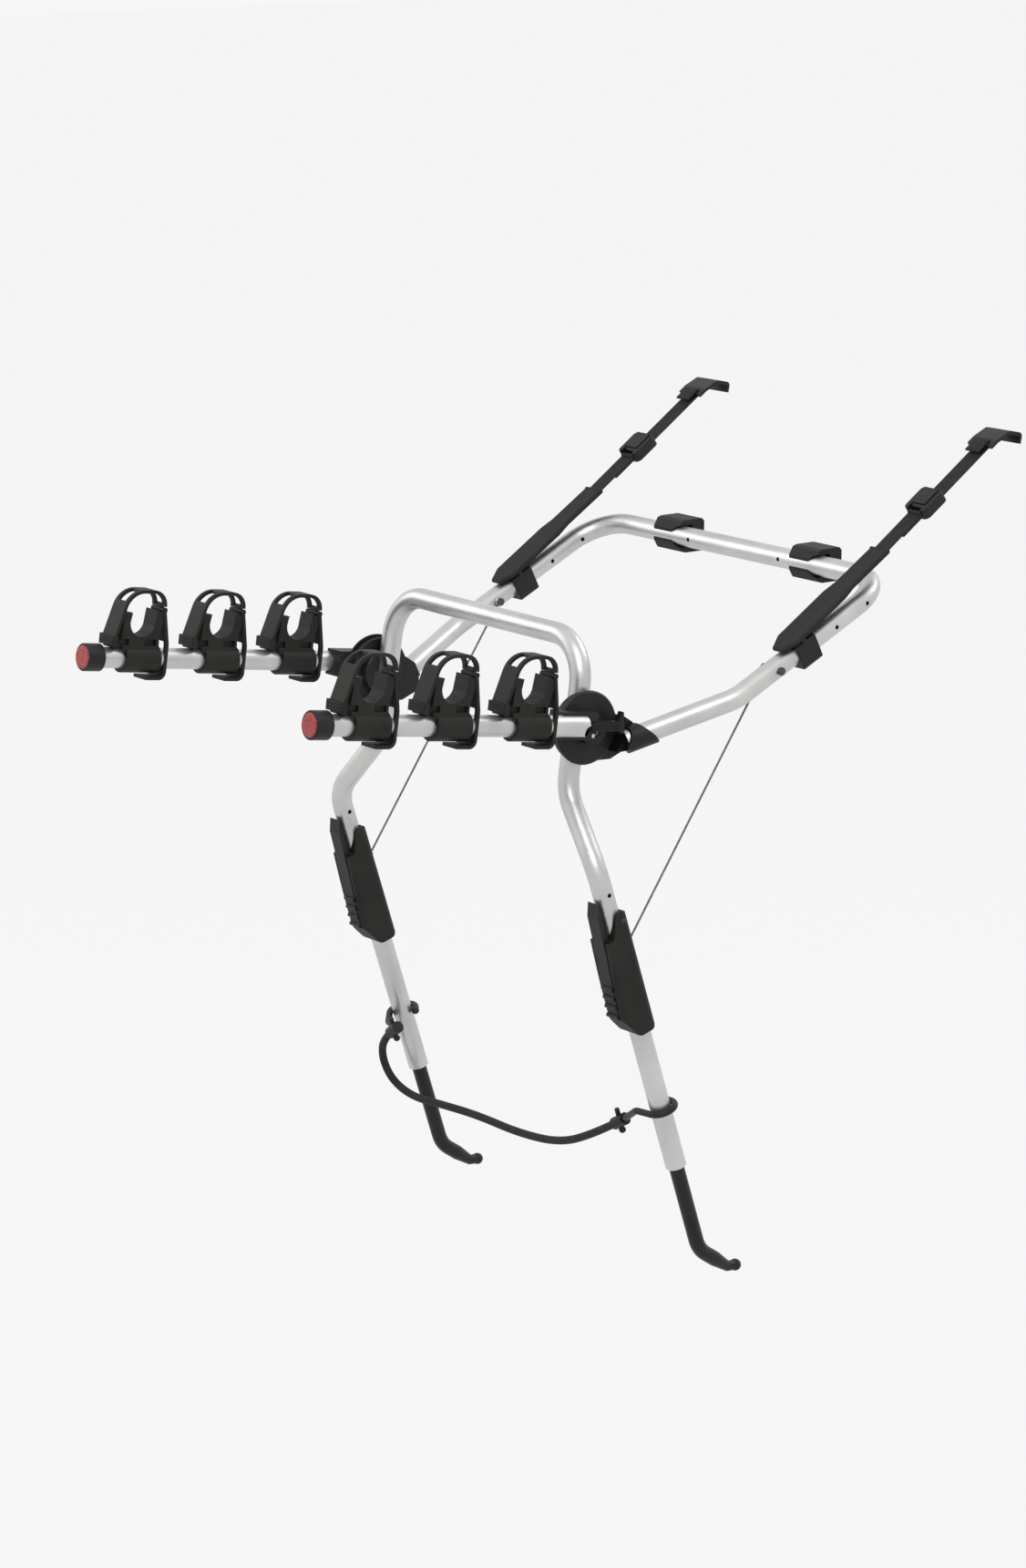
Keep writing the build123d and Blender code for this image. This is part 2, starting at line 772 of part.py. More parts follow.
# Tensioner housings round the legs, with their triggers and screws
for side, sign in sides:
    leg_view = side_view(sign * leg_half, leg_top, leg_end)
    with BuildPart() as housing:
        with BuildSketch(leg_view):
            with BuildLine():
                FilletPolyline(
                    (housing_bottom, housing_back),
                    (housing_bottom, -tube_radius),
                    (trigger_end, -housing_belly),
                    (housing_notch, -housing_front),
                    (housing_notch, -tube_radius),
                    (housing_top + housing_lobe_start, -tube_wall),
                    (housing_top + housing_lobe_start, housing_back),
                    radius=[
                        housing_heel,
                        housing_heel,
                        housing_toe,
                        fit_gap,
                        tube_wall,
                        housing_lobe,
                        housing_lobe,
                    ],
                    close=True,
                )
            make_face()
        extrude(amount=housing_width / 2, both=True)
        with BuildSketch(cross_view(sign * leg_half, leg_top, leg_end, housing_top - tube_od)):
            with Locations((0, (housing_back - housing_belly) / 2)):
                RectangleRounded(housing_width, housing_back + housing_belly + part_gap, housing_round)
        extrude(amount=housing_bottom, mode=Mode.INTERSECT)
        with BuildSketch(cross_view(sign * leg_half, leg_top, leg_end)):
            Circle(tube_seat)
        extrude(amount=leg_length, mode=Mode.SUBTRACT)
        with BuildSketch(leg_view):
            with BuildLine():
                Polyline(
                    (trigger_tip, -trigger_seat),
                    (trigger_end + trigger_rib, -trigger_seat),
                    (trigger_end + trigger_rib, -trigger_belly * 2),
                    (trigger_tip, -trigger_belly * 2),
                    close=True,
                )
            make_face()
        extrude(amount=trigger_width / 2 + part_gap, both=True, mode=Mode.SUBTRACT)
        with BuildSketch(leg_view):
            with Locations((trigger_pin_place, -(trigger_seat + housing_front) / 2)):
                Circle(trigger_pin_radius + running_gap)
        extrude(amount=housing_width / 2 - tube_wall, both=True, mode=Mode.SUBTRACT)
        with BuildSketch(side_view(sign * (leg_half + housing_width / 2), leg_top, leg_end)):
            with Locations((housing_screw_place, housing_back / 2)):
                Circle(housing_screw_radius + part_gap)
        extrude(amount=-sign * tube_wall, mode=Mode.SUBTRACT)
        lower, _, pull = cable_line(sign)
        rod(lower, lower + pull * cable_boss_length, cable_boss)
        rod(lower - pull * tube_wall, lower + pull * cable_boss, cable_boss)
    keep(housing.part, f"{side}_tensioner_housing")

    with BuildPart() as trigger:
        with BuildSketch(leg_view):
            with BuildLine():
                Polyline(
                    (trigger_tip, -trigger_seat - part_gap * 2),
                    (trigger_pin_place, -trigger_seat - part_gap * 2),
                    (trigger_end, -trigger_seat - tube_radius / 2),
                    (trigger_end, trigger_rib - trigger_belly),
                    (trigger_pin_place, -trigger_front),
                    (housing_top, trigger_rib - trigger_front),
                    close=True,
                )
            make_face()
            for rib in range(trigger_ribs):
                place = trigger_end - trigger_rib - rib * trigger_rib_pitch
                share = (place - trigger_pin_place) / (trigger_end - trigger_pin_place)
                depth = trigger_front + (trigger_belly - trigger_rib - trigger_front) * share
                with Locations((place, -depth)):
                    Circle(trigger_rib)
        extrude(amount=trigger_width / 2, both=True)
        with BuildSketch(leg_view):
            with Locations((trigger_pin_place, -(trigger_seat + housing_front) / 2)):
                Circle(trigger_pin_radius)
        extrude(amount=housing_width / 2 - tube_wall - part_gap, both=True)
    keep(trigger.part, f"{side}_tensioner_trigger")

with BuildPart() as screws:
    for _, sign in sides:
        with BuildSketch(side_view(sign * (leg_half + housing_width / 2 - tube_wall), leg_top, leg_end)):
            with Locations((housing_screw_place, housing_back / 2)):
                Circle(housing_screw_radius)
                Rectangle(housing_screw_radius, tube_wall / 2, mode=Mode.SUBTRACT)
        extrude(amount=sign * tube_wall / 2)
keep(screws.part, "tensioner_screws")

# Lower hooks, rubber over a bent rod
for side, sign in sides:
    foot = radians(hook_turn)
    shank_start = spot(sign * leg_half, *leg_end) - leg_run * hook_inside
    shank_end = spot(sign * leg_half, *leg_end) + leg_run * hook_shank
    foot_way = leg_run * cos(foot) + leg_side * sin(foot)
    foot_end = shank_end + foot_way * hook_foot
    with BuildPart() as hook:
        with BuildLine() as hook_line:
            FilletPolyline(shank_start, shank_end, foot_end, radius=hook_bend)
        with BuildSketch(Plane(origin=hook_line.line @ 0, z_dir=hook_line.line % 0)):
            Circle(hook_radius)
        sweep()
        with BuildSketch(Plane(origin=shank_start, z_dir=leg_run)):
            Circle(tube_bore - fit_gap)
        extrude(amount=hook_inside)
        neck = foot_end + foot_way * hook_taper
        with BuildSketch(Plane(origin=foot_end, z_dir=foot_way)):
            Circle(hook_radius)
        with BuildSketch(Plane(origin=neck, z_dir=foot_way)):
            Circle(hook_neck)
        loft()
        toe = neck + foot_way.rotate(Axis.X, hook_toe_turn) * hook_toe
        with Locations(Location(neck)):
            Sphere(hook_neck)
        rod(neck, toe, hook_neck)
        with Locations(Location(toe)):
            Sphere(hook_ball)
    keep(hook.part, f"{side}_lower_hook")


# Steel cables between the legs and the upper frame, and the bolts that hold their eyes
with BuildPart() as cable_bolts:
    for _, sign in sides:
        bolt_start = upper_half - tube_radius - cable_eye_thickness - tube_wall
        with BuildSketch(side_view(sign * bolt_start, elbow, rail)):
            with Locations((cable_run_place, 0)):
                Circle(cable_bolt_radius)
        extrude(amount=sign * (tube_od + cable_eye_thickness + tube_wall + fit_gap))
        with BuildSketch(side_view(sign * (upper_half + tube_radius + fit_gap), elbow, rail)):
            with Locations((cable_run_place, 0)):
                Circle(cable_bolt_head_radius)
        extrude(amount=sign * cable_bolt_head)
        head_start = upper_half - tube_radius - cable_eye_thickness - fit_gap * 2
        with BuildSketch(side_view(sign * head_start, elbow, rail)):
            with Locations((cable_run_place, 0)):
                Circle(cable_bolt_head_radius)
        extrude(amount=-sign * cable_bolt_head)
keep(cable_bolts.part, "cable_bolts")

for side, sign in sides:
    eye_x = sign * cable_eye_half
    lower, upper, pull = cable_line(sign)
    with BuildPart() as cable:
        rod(lower + pull * cable_boss_length, upper - pull * (cable_eye_radius - cable_radius), cable_radius)
        rod(upper - pull * tube_radius * 2, upper - pull * tube_radius, cable_radius * 2)
        with BuildSketch(side_view(eye_x - cable_eye_thickness / 2, elbow, rail)):
            with Locations((cable_run_place, 0)):
                Circle(cable_eye_radius)
        extrude(amount=cable_eye_thickness)
        with BuildSketch(side_view(eye_x - cable_eye_thickness, elbow, rail)):
            with Locations((cable_run_place, 0)):
                Circle(cable_bolt_radius + running_gap)
        extrude(amount=cable_eye_thickness * 2, mode=Mode.SUBTRACT)
    keep(cable.part, f"{side}_steel_cable")

# Clips that hook round the legs and hold the cord's ends
clip_ring = tube_seat + part_gap + clip_rod_radius
for side, sign in sides:
    ring_middle = spot(sign * leg_half, *leg_top) + leg_run * clip_place
    ends = cord_route[-1:-3:-1] if sign > 0 else cord_route[:2]
    cord_end, cord_next = (Vector(*point) for point in ends)
    cord_way = (cord_end - cord_next).normalized()
    ferrule_start = cord_end - cord_way * ferrule_hold
    ferrule_end = ferrule_start + cord_way * ferrule_length
    towards = ferrule_end - ring_middle
    out = (towards - leg_run * towards.dot(leg_run)).normalized()
    across = out.cross(leg_run) * sign
    with BuildPart() as clip:
        with BuildLine() as clip_line:
            FilletPolyline(
                ring_middle + out * clip_tip - across * clip_ring,
                ring_middle - out * clip_ring - across * clip_ring,
                ring_middle - out * clip_ring + across * clip_ring,
                ring_middle + out * clip_neck + across * clip_ring,
                ferrule_end - cord_way * clip_rod_radius,
                radius=[clip_ring - fit_gap, clip_ring - fit_gap, clip_bend],
            )
        with BuildSketch(Plane(origin=clip_line.line @ 0, z_dir=clip_line.line % 0)):
            Circle(clip_rod_radius)
        sweep()
        with Locations(Location(clip_line.line @ 0)):
            Sphere(clip_rod_radius * 1.2)
        rod(ferrule_start, ferrule_end, ferrule_radius)
        ferrule_middle = (ferrule_start + ferrule_end) / 2
        rod(ferrule_middle, ferrule_middle - leg_run * clip_prong, clip_prong_radius)
        rod(ferrule_middle, ferrule_middle + leg_run * (ferrule_radius + clip_ball), clip_prong_radius)
        with Locations(Location(ferrule_middle + leg_run * (ferrule_radius + clip_ball))):
            Sphere(clip_ball)
        with BuildSketch(Plane(origin=ferrule_start, z_dir=cord_way)):
            Circle(cord_radius + part_gap)
        extrude(amount=ferrule_hold, mode=Mode.SUBTRACT)
    keep(clip.part, f"{side}_cord_clip")

# The cord between the clips: runs joined by tangent arcs
cord_points = [Vector(*point) for point in cord_route]
cord_radii = []
for before, point, after in zip(cord_points, cord_points[1:], cord_points[2:]):
    first, second = point - before, after - point
    turn = radians(first.get_angle(second))
    cord_radii.append(0.45 * min(first.length, second.length) / tan(turn / 2))
with BuildPart() as cord:
    with BuildLine() as cord_line:
        FilletPolyline(*cord_points, radius=cord_radii)
    with BuildSketch(Plane(origin=cord_line.line @ 0, z_dir=cord_line.line % 0)):
        Circle(cord_radius)
    sweep()
keep(cord.part, "bungee_cord")
print("cord turns", [round(radius) for radius in cord_radii])
print("cord length", round(cord_line.wire().length))

# Pads that clamp on the upper rail and rest on the hatch
pad_high = tube_radius + pad_jaw
pad_front = sqrt(tube_seat**2 - (pad_slot / 2) ** 2)
for side, sign in sides:
    with BuildPart() as pad:
        with BuildSketch(Plane.YZ.offset(sign * pad_middle)):
            with BuildLine():
                Polyline(
                    (-pad_front, tube_radius - pad_edge),
                    (-pad_front / 2, pad_high - pad_edge / 2),
                    (0, pad_high),
                    (pad_back - pad_edge, pad_high),
                    (pad_back, pad_high - pad_edge),
                    (pad_back, pad_edge - pad_high),
                    (pad_back - pad_edge, -pad_high),
                    (0, -pad_high),
                    (-pad_front / 2, pad_edge / 2 - pad_high),
                    (-pad_front, pad_edge - tube_radius),
                    close=True,
                )
            make_face()
            Circle(tube_seat, mode=Mode.SUBTRACT)
            with Locations((-tube_radius, 0)):
                Rectangle(tube_radius, pad_slot, mode=Mode.SUBTRACT)
        extrude(amount=pad_width / 2, both=True)
        with BuildSketch(Plane.XZ.offset(tube_od)):
            with Locations((sign * pad_middle + pad_width / 2, 0)):
                Circle(pad_scoop)
        extrude(amount=-tube_od - pad_scoop_depth + tube_radius, mode=Mode.SUBTRACT)
    keep(pad.part, f"{side}_support_pad")

# Saddles that carry the hatch straps, each with its ears and pin
ear_height = tube_seat + part_gap + ear_radius
for side, sign in sides:
    across_run = cross_view(sign * upper_half, elbow, rail, saddle_place - saddle_length / 2)
    with BuildPart() as saddle:
        with BuildSketch(across_run):
            with Locations((0, (saddle_high - saddle_low) / 2)):
                RectangleRounded(saddle_width, saddle_high + saddle_low, saddle_edge)
        extrude(amount=saddle_length)
        chamfer(saddle.faces().sort_by(Axis((0, 0, 0), run_way))[0].outer_wire().edges(), saddle_edge / 3)
        with BuildSketch(side_view(sign * upper_half, elbow, rail)):
            with BuildLine():
                Polyline(
                    (ear_place - ear_radius * 2, saddle_high - saddle_edge),
                    (ear_place - ear_radius + part_gap, ear_height),
                    (ear_place + ear_radius - part_gap, ear_height),
                    (ear_place + ear_radius * 2, saddle_high - saddle_edge),
                    close=True,
                )
            make_face()
            with Locations((ear_place, ear_height)):
                Circle(ear_radius - part_gap)
        extrude(amount=saddle_width / 2, both=True)
        with BuildSketch(side_view(sign * upper_half, elbow, rail)):
            with Locations((ear_place, ear_height)):
                Circle(ear_radius + part_gap)
                Rectangle(ear_radius * 4, ear_radius * 2 + part_gap)
        extrude(amount=saddle_slot / 2, both=True, mode=Mode.SUBTRACT)
        with BuildSketch(side_view(sign * upper_half, elbow, rail)):
            with Locations((ear_place, ear_height)):
                Circle(pin_radius)
        extrude(amount=saddle_slot / 2, both=True)
        with BuildSketch(across_run):
            Circle(tube_seat)
        extrude(amount=saddle_length, mode=Mode.SUBTRACT)
    keep(saddle.part, f"{side}_strap_saddle")

# Hatch straps: sleeve, buckle, cam lever, webbing and hook, measured from the saddle's pin
sleeve_up = ear_radius + sleeve_thickness / 2


def belt_view(x, pitch, start):
    # Local x runs up along the strap, local y out of its upper face, and the normal is +X.
    way = Vector(0, cos(radians(pitch)), sin(radians(pitch)))
    return Plane(origin=Vector(x, start.Y, start.Z), x_dir=way, z_dir=(1, 0, 0))


def face_view(view):
    # Looks down on the strap: local x runs up along it and local y is -X.
    return Plane(origin=view.origin, x_dir=view.x_dir, z_dir=view.y_dir)


for side, sign in sides:
    pin = spot(sign * upper_half, *elbow) + run_way * ear_place + run_side * ear_height
    sleeve_view = belt_view(pin.X, belt_pitch, pin)
    web_start = pin + sleeve_view.x_dir * sleeve_end + sleeve_view.y_dir * sleeve_up
    web_view = belt_view(pin.X, web_pitch, web_start)
    buckle_start = buckle_place - buckle_length / 2
    web_low = -belt_thickness - belt_gap
    bar_up = bar_radius + running_gap
    cam_up = web_low + cam_radius + part_gap
    plate_start = buckle_place + hook_place
    slot_place = plate_start + hook_slot_place
    bow_end = plate_start + hook_plate_length + hook_top * cos(hook_bow)
    with BuildPart() as sleeve:
        with BuildSketch(face_view(sleeve_view).offset(sleeve_up - sleeve_thickness / 2)):
            with BuildLine():
                Polyline(
                    (-sleeve_tail, sleeve_tail_width / 2),
                    (-sleeve_tail / 3, sleeve_wide / 2),
                    (sleeve_wide_end, sleeve_wide / 2),
                    (sleeve_wide_end + sleeve_wide / 2, sleeve_narrow / 2),
                    (sleeve_end, sleeve_narrow / 2),
                    (sleeve_end, -sleeve_narrow / 2),
                    (sleeve_wide_end + sleeve_wide / 2, -sleeve_narrow / 2),
                    (sleeve_wide_end, -sleeve_wide / 2),
                    (-sleeve_tail / 3, -sleeve_wide / 2),
                    (-sleeve_tail, -sleeve_tail_width / 2),
                    close=True,
                )
            make_face()
        extrude(amount=sleeve_thickness)
        chamfer(sleeve.faces().sort_by(Axis(pin, sleeve_view.y_dir))[-1].outer_wire().edges(), sleeve_edge)
        with BuildSketch(sleeve_view):
            Circle(ear_radius)
            with Locations((0, sleeve_up / 2)):
                Rectangle(ear_radius * 2, sleeve_up)
        extrude(amount=saddle_slot / 2 - part_gap, both=True)
        with BuildSketch(sleeve_view):
            Circle(pin_radius + running_gap)
        extrude(amount=saddle_slot, both=True, mode=Mode.SUBTRACT)
        with BuildSketch(sleeve_view):
            with Locations((sleeve_end, sleeve_up)):
                Circle(sleeve_thickness / 2)
        extrude(amount=sleeve_narrow / 2, both=True)
        with BuildSketch(sleeve_view):
            with Locations((sleeve_end, sleeve_up)):
                Circle(sleeve_thickness / 2 + part_gap)
        extrude(amount=belt_width / 2 + part_gap, both=True, mode=Mode.SUBTRACT)
        with BuildSketch(sleeve_view):
            with Locations((sleeve_end, sleeve_up)):
                Circle(bar_radius)
        extrude(amount=belt_width / 2 + part_gap, both=True)
    keep(sleeve.part, f"{side}_strap_sleeve")

    with BuildPart() as belt:
        with BuildSketch(web_view):
            with Locations((buckle_start / 2, -belt_thickness / 2)):
                Rectangle(buckle_start, belt_thickness)
            with Locations((0, 0)):
                Circle(sleeve_thickness / 2)
            with Locations((buckle_start + bar_radius * 2, bar_up)):
                Circle(bar_radius + running_gap + belt_thickness)
            with Locations((buckle_start + bar_radius, -belt_thickness / 2)):
                Rectangle(bar_radius * 2, belt_thickness)
            Circle(bar_radius + running_gap, mode=Mode.SUBTRACT)
            with Locations((buckle_start + bar_radius * 2, bar_up)):
                Circle(bar_radius + running_gap, mode=Mode.SUBTRACT)
        extrude(amount=belt_width / 2, both=True)
    keep(belt.part, f"{side}_strap_belt")

    with BuildPart() as buckle:
        with BuildSketch(face_view(web_view).offset(web_low * 2 - buckle_floor)):
            with Locations((buckle_place, 0)):
                RectangleRounded(buckle_length, buckle_width, buckle_corner)
        extrude(amount=buckle_rise + buckle_floor - web_low * 2)
        with BuildSketch(web_view):
            with Locations((buckle_place, buckle_rise)):
                Rectangle(buckle_length + overrun, buckle_rise * 2)
            with Locations((buckle_place, web_low)):
                Rectangle(buckle_length + overrun, -web_low * 2)
        extrude(amount=belt_width / 2 + belt_gap, both=True, mode=Mode.SUBTRACT)
        with BuildSketch(web_view):
            with Locations((buckle_place - cam_place, cam_up)):
                Circle(cam_pin_radius + running_gap)
        extrude(amount=buckle_width / 2 - buckle_wall / 2, both=True, mode=Mode.SUBTRACT)
        with BuildSketch(web_view):
            with Locations((buckle_start + bar_radius * 2, bar_up)):
                Circle(bar_radius)
        extrude(amount=belt_width / 2 + belt_gap, both=True)
    keep(buckle.part, f"{side}_cam_buckle")

    with BuildPart() as cam:
        with BuildSketch(web_view):
            with Locations((buckle_place - cam_place, cam_up)):
                Circle(cam_radius)
            with Locations((buckle_place - cam_place + cam_lever_length / 2, buckle_rise - belt_gap)):
                Rectangle(cam_lever_length, cam_lever_thickness)
        extrude(amount=belt_width / 2, both=True)
        with BuildSketch(web_view):
            with Locations((buckle_place - cam_place, cam_up)):
                Circle(cam_pin_radius)
        extrude(amount=buckle_width / 2 - buckle_wall / 2 - part_gap, both=True)
    keep(cam.part, f"{side}_buckle_lever")

    with BuildPart() as web:
        with BuildSketch(web_view):
            with BuildLine():
                FilletPolyline(
                    (buckle_place - web_tail, web_low - belt_thickness / 2),
                    (slot_place, web_low - belt_thickness / 2),
                    (slot_place, hook_plate / 2 + belt_gap + belt_thickness / 2),
                    (slot_place - web_fold, hook_plate / 2 + belt_gap + belt_thickness / 2),
                    radius=belt_thickness / 2 + belt_gap,
                )
            trace(line_width=belt_thickness)
        extrude(amount=belt_width / 2, both=True)
    keep(web.part, f"{side}_hatch_web")

    with BuildPart() as hatch_hook:
        with BuildSketch(web_view):
            with BuildLine():
                FilletPolyline(
                    (plate_start, 0),
                    (slot_place + hook_plate, 0),
                    (plate_start + hook_plate_length, -hook_plate),
                    (bow_end, -hook_plate - hook_top * sin(hook_bow)),
                    (
                        bow_end - hook_lip * sin(hook_bow),
                        -hook_plate - hook_top * sin(hook_bow) - hook_lip * cos(hook_bow),
                    ),
                    radius=hook_plate * 0.8,
                )
            trace(line_width=hook_plate)
        extrude(amount=hook_plate_width / 2, both=True)
        with BuildSketch(web_view):
            with Locations((slot_place, 0)):
                Rectangle(belt_thickness + belt_gap * 2, hook_plate * 3)
        extrude(amount=belt_width / 2 + belt_gap, both=True, mode=Mode.SUBTRACT)
        with BuildSketch(face_view(web_view).offset(-hook_top * 2)):
            with Locations((plate_start + hook_plate_length / 2, 0)):
                RectangleRounded(hook_plate_length + hook_top * 2, hook_plate_width, hook_edge)
        extrude(amount=hook_top * 3, mode=Mode.INTERSECT)
    keep(hatch_hook.part, f"{side}_hatch_hook")
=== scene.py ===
import bpy
import bmesh
import math
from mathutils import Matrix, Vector


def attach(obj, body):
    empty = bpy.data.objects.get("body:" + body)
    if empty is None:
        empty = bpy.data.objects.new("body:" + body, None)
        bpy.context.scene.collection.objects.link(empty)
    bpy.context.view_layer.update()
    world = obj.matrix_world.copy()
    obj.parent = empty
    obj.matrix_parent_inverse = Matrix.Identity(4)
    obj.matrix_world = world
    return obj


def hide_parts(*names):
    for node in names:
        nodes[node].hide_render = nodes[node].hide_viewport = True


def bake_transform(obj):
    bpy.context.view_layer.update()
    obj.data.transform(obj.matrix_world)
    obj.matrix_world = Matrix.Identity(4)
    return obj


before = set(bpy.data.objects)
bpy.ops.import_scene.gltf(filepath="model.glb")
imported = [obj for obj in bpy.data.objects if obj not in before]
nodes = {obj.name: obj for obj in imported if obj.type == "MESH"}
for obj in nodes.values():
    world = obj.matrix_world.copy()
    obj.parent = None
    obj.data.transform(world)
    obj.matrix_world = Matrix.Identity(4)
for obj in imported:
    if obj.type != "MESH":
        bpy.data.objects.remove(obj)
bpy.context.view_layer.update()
print("frame loaded:", len(nodes), "nodes")

sides = (("left", -1), ("right", 1))


# Camera: the photograph looks from the rack's right front corner, slightly from above
camera = {
    "place": (4.668, -3.913, 1.077), "azimuth": 52.97, "elevation": 13.05, "lens": 102.9, "longSide": 36.0,
}


def placeCamera():
    data = bpy.data.cameras.new("rackCamera")
    data.lens = camera["lens"]
    data.sensor_width = camera["longSide"]
    data.sensor_fit = "AUTO"
    eye = bpy.data.objects.new("rackCamera", data)
    eye.location = camera["place"]
    eye.rotation_euler = (math.radians(90 - camera["elevation"]), 0, math.radians(camera["azimuth"]))
    bpy.context.scene.collection.objects.link(eye)
    bpy.context.scene.camera = eye


# Lamps, floor and a pale backdrop
studio = {
    "floor": -1.25, "floorSize": 60.0, "floorTone": (0.92, 0.92, 0.92, 1), "floorRough": 0.9,
    "paper": 0.925, "floorShare": 0.93, "worldLight": 0.70, "lampsAim": (0, -0.3, -0.2),
    "lamps": (
        ("keyLamp", (2.6, -2.4, 3.2), 2.6, 78.0),
        ("fillLamp", (-3.2, -2.6, 1.6), 2.4, 34.0),
        ("backLamp", (0.6, 3.2, 2.6), 2.2, 40.0),
    ),
}


class Signal:
    # One socket, with the sums that the materials use
    def __init__(self, net, socket):
        self.net = net
        self.socket = socket

    def sum(self, operation, first, second):
        return self.net.node("ShaderNodeMath", {"operation": operation}, {0: first, 1: second})

    def __add__(self, other):
        return self.sum("ADD", self, other)

    __radd__ = __add__

    def __sub__(self, other):
        return self.sum("SUBTRACT", self, other)

    def __rsub__(self, other):
        return self.sum("SUBTRACT", other, self)

    def __mul__(self, other):
        return self.sum("MULTIPLY", self, other)

    __rmul__ = __mul__

    def __pow__(self, other):
        return self.sum("POWER", self, other)


class Net:
    def __init__(self, name):
        self.material = bpy.data.materials.new(name)
        self.material.use_nodes = True
        self.tree = self.material.node_tree
        self.surface = self.tree.nodes["Principled BSDF"]

    def feed(self, socket, value):
        if isinstance(value, Signal):
            self.tree.links.new(value.socket, socket)
        else:
            socket.default_value = value

    def node(self, kind, settings=None, values=None, out=0):
        made = self.tree.nodes.new(kind)
        for key, value in (settings or {}).items():
            if key == "stops":
                ramp = made.color_ramp
                while len(ramp.elements) < len(value):
                    ramp.elements.new(1)
                for element, (place, colour) in zip(ramp.elements, value):
                    element.position = place
                    element.color = (*colour, 1)
            else:
                setattr(made, key, value)
        for key, value in (values or {}).items():
            self.feed(made.inputs[key], value)
        return Signal(self, made.outputs[out])

    def place(self, scale=1.0, turn=(0, 0, 0), uv=False):
        spot = self.node("ShaderNodeTexCoord", out=2 if uv else 3)
        size = scale if isinstance(scale, tuple) else (scale, scale, scale)
        return self.node("ShaderNodeMapping", values={0: spot, 2: turn, 3: size})

    def noise(self, scale, detail=3.0, where=None, rough=0.5):
        values = {"Scale": scale, "Detail": detail, "Roughness": rough, 0: where or self.place()}
        return self.node("ShaderNodeTexNoise", values=values)

    def between(self, mask, low, high):
        # A plain number from low to high as the mask goes from 0 to 1
        return self.node("ShaderNodeMapRange", values={0: mask, 3: low, 4: high})

    def tint(self, mask, dark, light):
        stops = [(0.25, dark), (0.75, light)]
        return self.node("ShaderNodeValToRGB", {"stops": stops}, {0: mask})

    def relief(self, height, depth, strength=1.0, under=None):
        values = {"Strength": strength, "Distance": depth, "Height": height}
        if under:
            values["Normal"] = under
        return self.node("ShaderNodeBump", values=values)

    def finish(self, **values):
        for key, value in values.items():
            self.feed(self.surface.inputs[key.replace("_", " ")], value)
        return self.material


# Satin aluminium tube: scales are per metre, depths in metres, and gloss is the range of the roughness
tubeFinish = {
    "dark": (0.47, 0.47, 0.47), "light": (0.66, 0.66, 0.65), "gloss": (0.29, 0.45), "metal": 0.92,
    "cloud": 14, "dent": 0.0006, "grain": 900.0, "grainDepth": 0.00004,
    "scuff": (60, 60, 300), "scuffRough": 0.5,
}


def brushedTube():
    net = Net("satinTube")
    cloud = net.noise(tubeFinish["cloud"], 4)
    fine = net.noise(tubeFinish["grain"], 2)
    scuff = net.noise(1, 6, net.place(tubeFinish["scuff"]), 0.7)
    marks = net.between(scuff, 0, 1) ** 5
    rough = net.between(cloud * 0.7 + fine * 0.3, *tubeFinish["gloss"]) + marks * tubeFinish["scuffRough"]
    normal = net.relief(fine, tubeFinish["grainDepth"], 0.5)
    normal = net.relief(cloud, tubeFinish["dent"], 0.12, normal)
    return net.finish(
        Base_Color=net.tint(cloud * 0.8 + fine * 0.2, tubeFinish["dark"], tubeFinish["light"]),
        Metallic=tubeFinish["metal"], Roughness=rough, Normal=normal,
    )


# Black plastic, rubber and the hooks' dipped coat
mouldings = {
    "plastic": {
        "name": "blackPlastic", "dark": (0.005, 0.005, 0.005), "light": (0.019, 0.019, 0.018),
        "gloss": (0.36, 0.56), "grainScale": 1500.0, "grainDepth": 0.00012, "shine": 0.28,
    },
    "rubber": {
        "name": "blackRubber", "dark": (0.006, 0.006, 0.005), "light": (0.020, 0.020, 0.017),
        "gloss": (0.46, 0.70), "grainScale": 900.0, "grainDepth": 0.0002, "shine": 0.26,
    },
    "coated": {
        "name": "dippedHook", "dark": (0.005, 0.005, 0.005), "light": (0.016, 0.016, 0.016),
        "gloss": (0.30, 0.5), "grainScale": 500.0, "grainDepth": 0.0002, "shine": 0.28,
    },
}
mouldWear = {"cloud": 22, "cloudDepthShare": 8, "rubbed": 75, "rubbedRange": (-0.9, 1.5)}


def moulded(name, dark, light, gloss, grainScale, grainDepth, shine):
    # A fine grain, slow mottling and pale rubbed places
    net = Net(name)
    cloud = net.noise(mouldWear["cloud"], 5)
    grain = net.noise(grainScale, 3)
    rubbed = net.between(net.noise(mouldWear["rubbed"], 6, rough=0.75), *mouldWear["rubbedRange"]) ** 4
    colour = net.tint(cloud * 0.75 + rubbed * 0.25, dark, light)
    normal = net.relief(grain, grainDepth, 0.6)
    normal = net.relief(cloud, grainDepth * mouldWear["cloudDepthShare"], 0.2, normal)
    rough = net.between(cloud * 0.6 + grain * 0.4, *gloss)
    return net.finish(Base_Color=colour, Roughness=rough, Normal=normal, Specular_IOR_Level=shine)


# Red reflectors with small prisms
prisms = {
    "dark": (0.14, 0.003, 0.004), "light": (0.46, 0.012, 0.014), "gloss": (0.2, 0.36), "coat": 0.2,
    "cells": 330.0, "depth": 0.0009, "cloud": 120,
}


def prismRed():
    net = Net("redPrisms")
    values = {"Scale": prisms["cells"], 0: net.place()}
    cells = net.node("ShaderNodeTexVoronoi", {"feature": "DISTANCE_TO_EDGE"}, values)
    cloud = net.noise(prisms["cloud"], 3)
    return net.finish(
        Base_Color=net.tint(cells * 3 + cloud * 0.4, prisms["dark"], prisms["light"]),
        Roughness=net.between(cloud, *prisms["gloss"]), Coat_Weight=prisms["coat"],
        Normal=net.relief(cells, prisms["depth"], 0.8),
    )


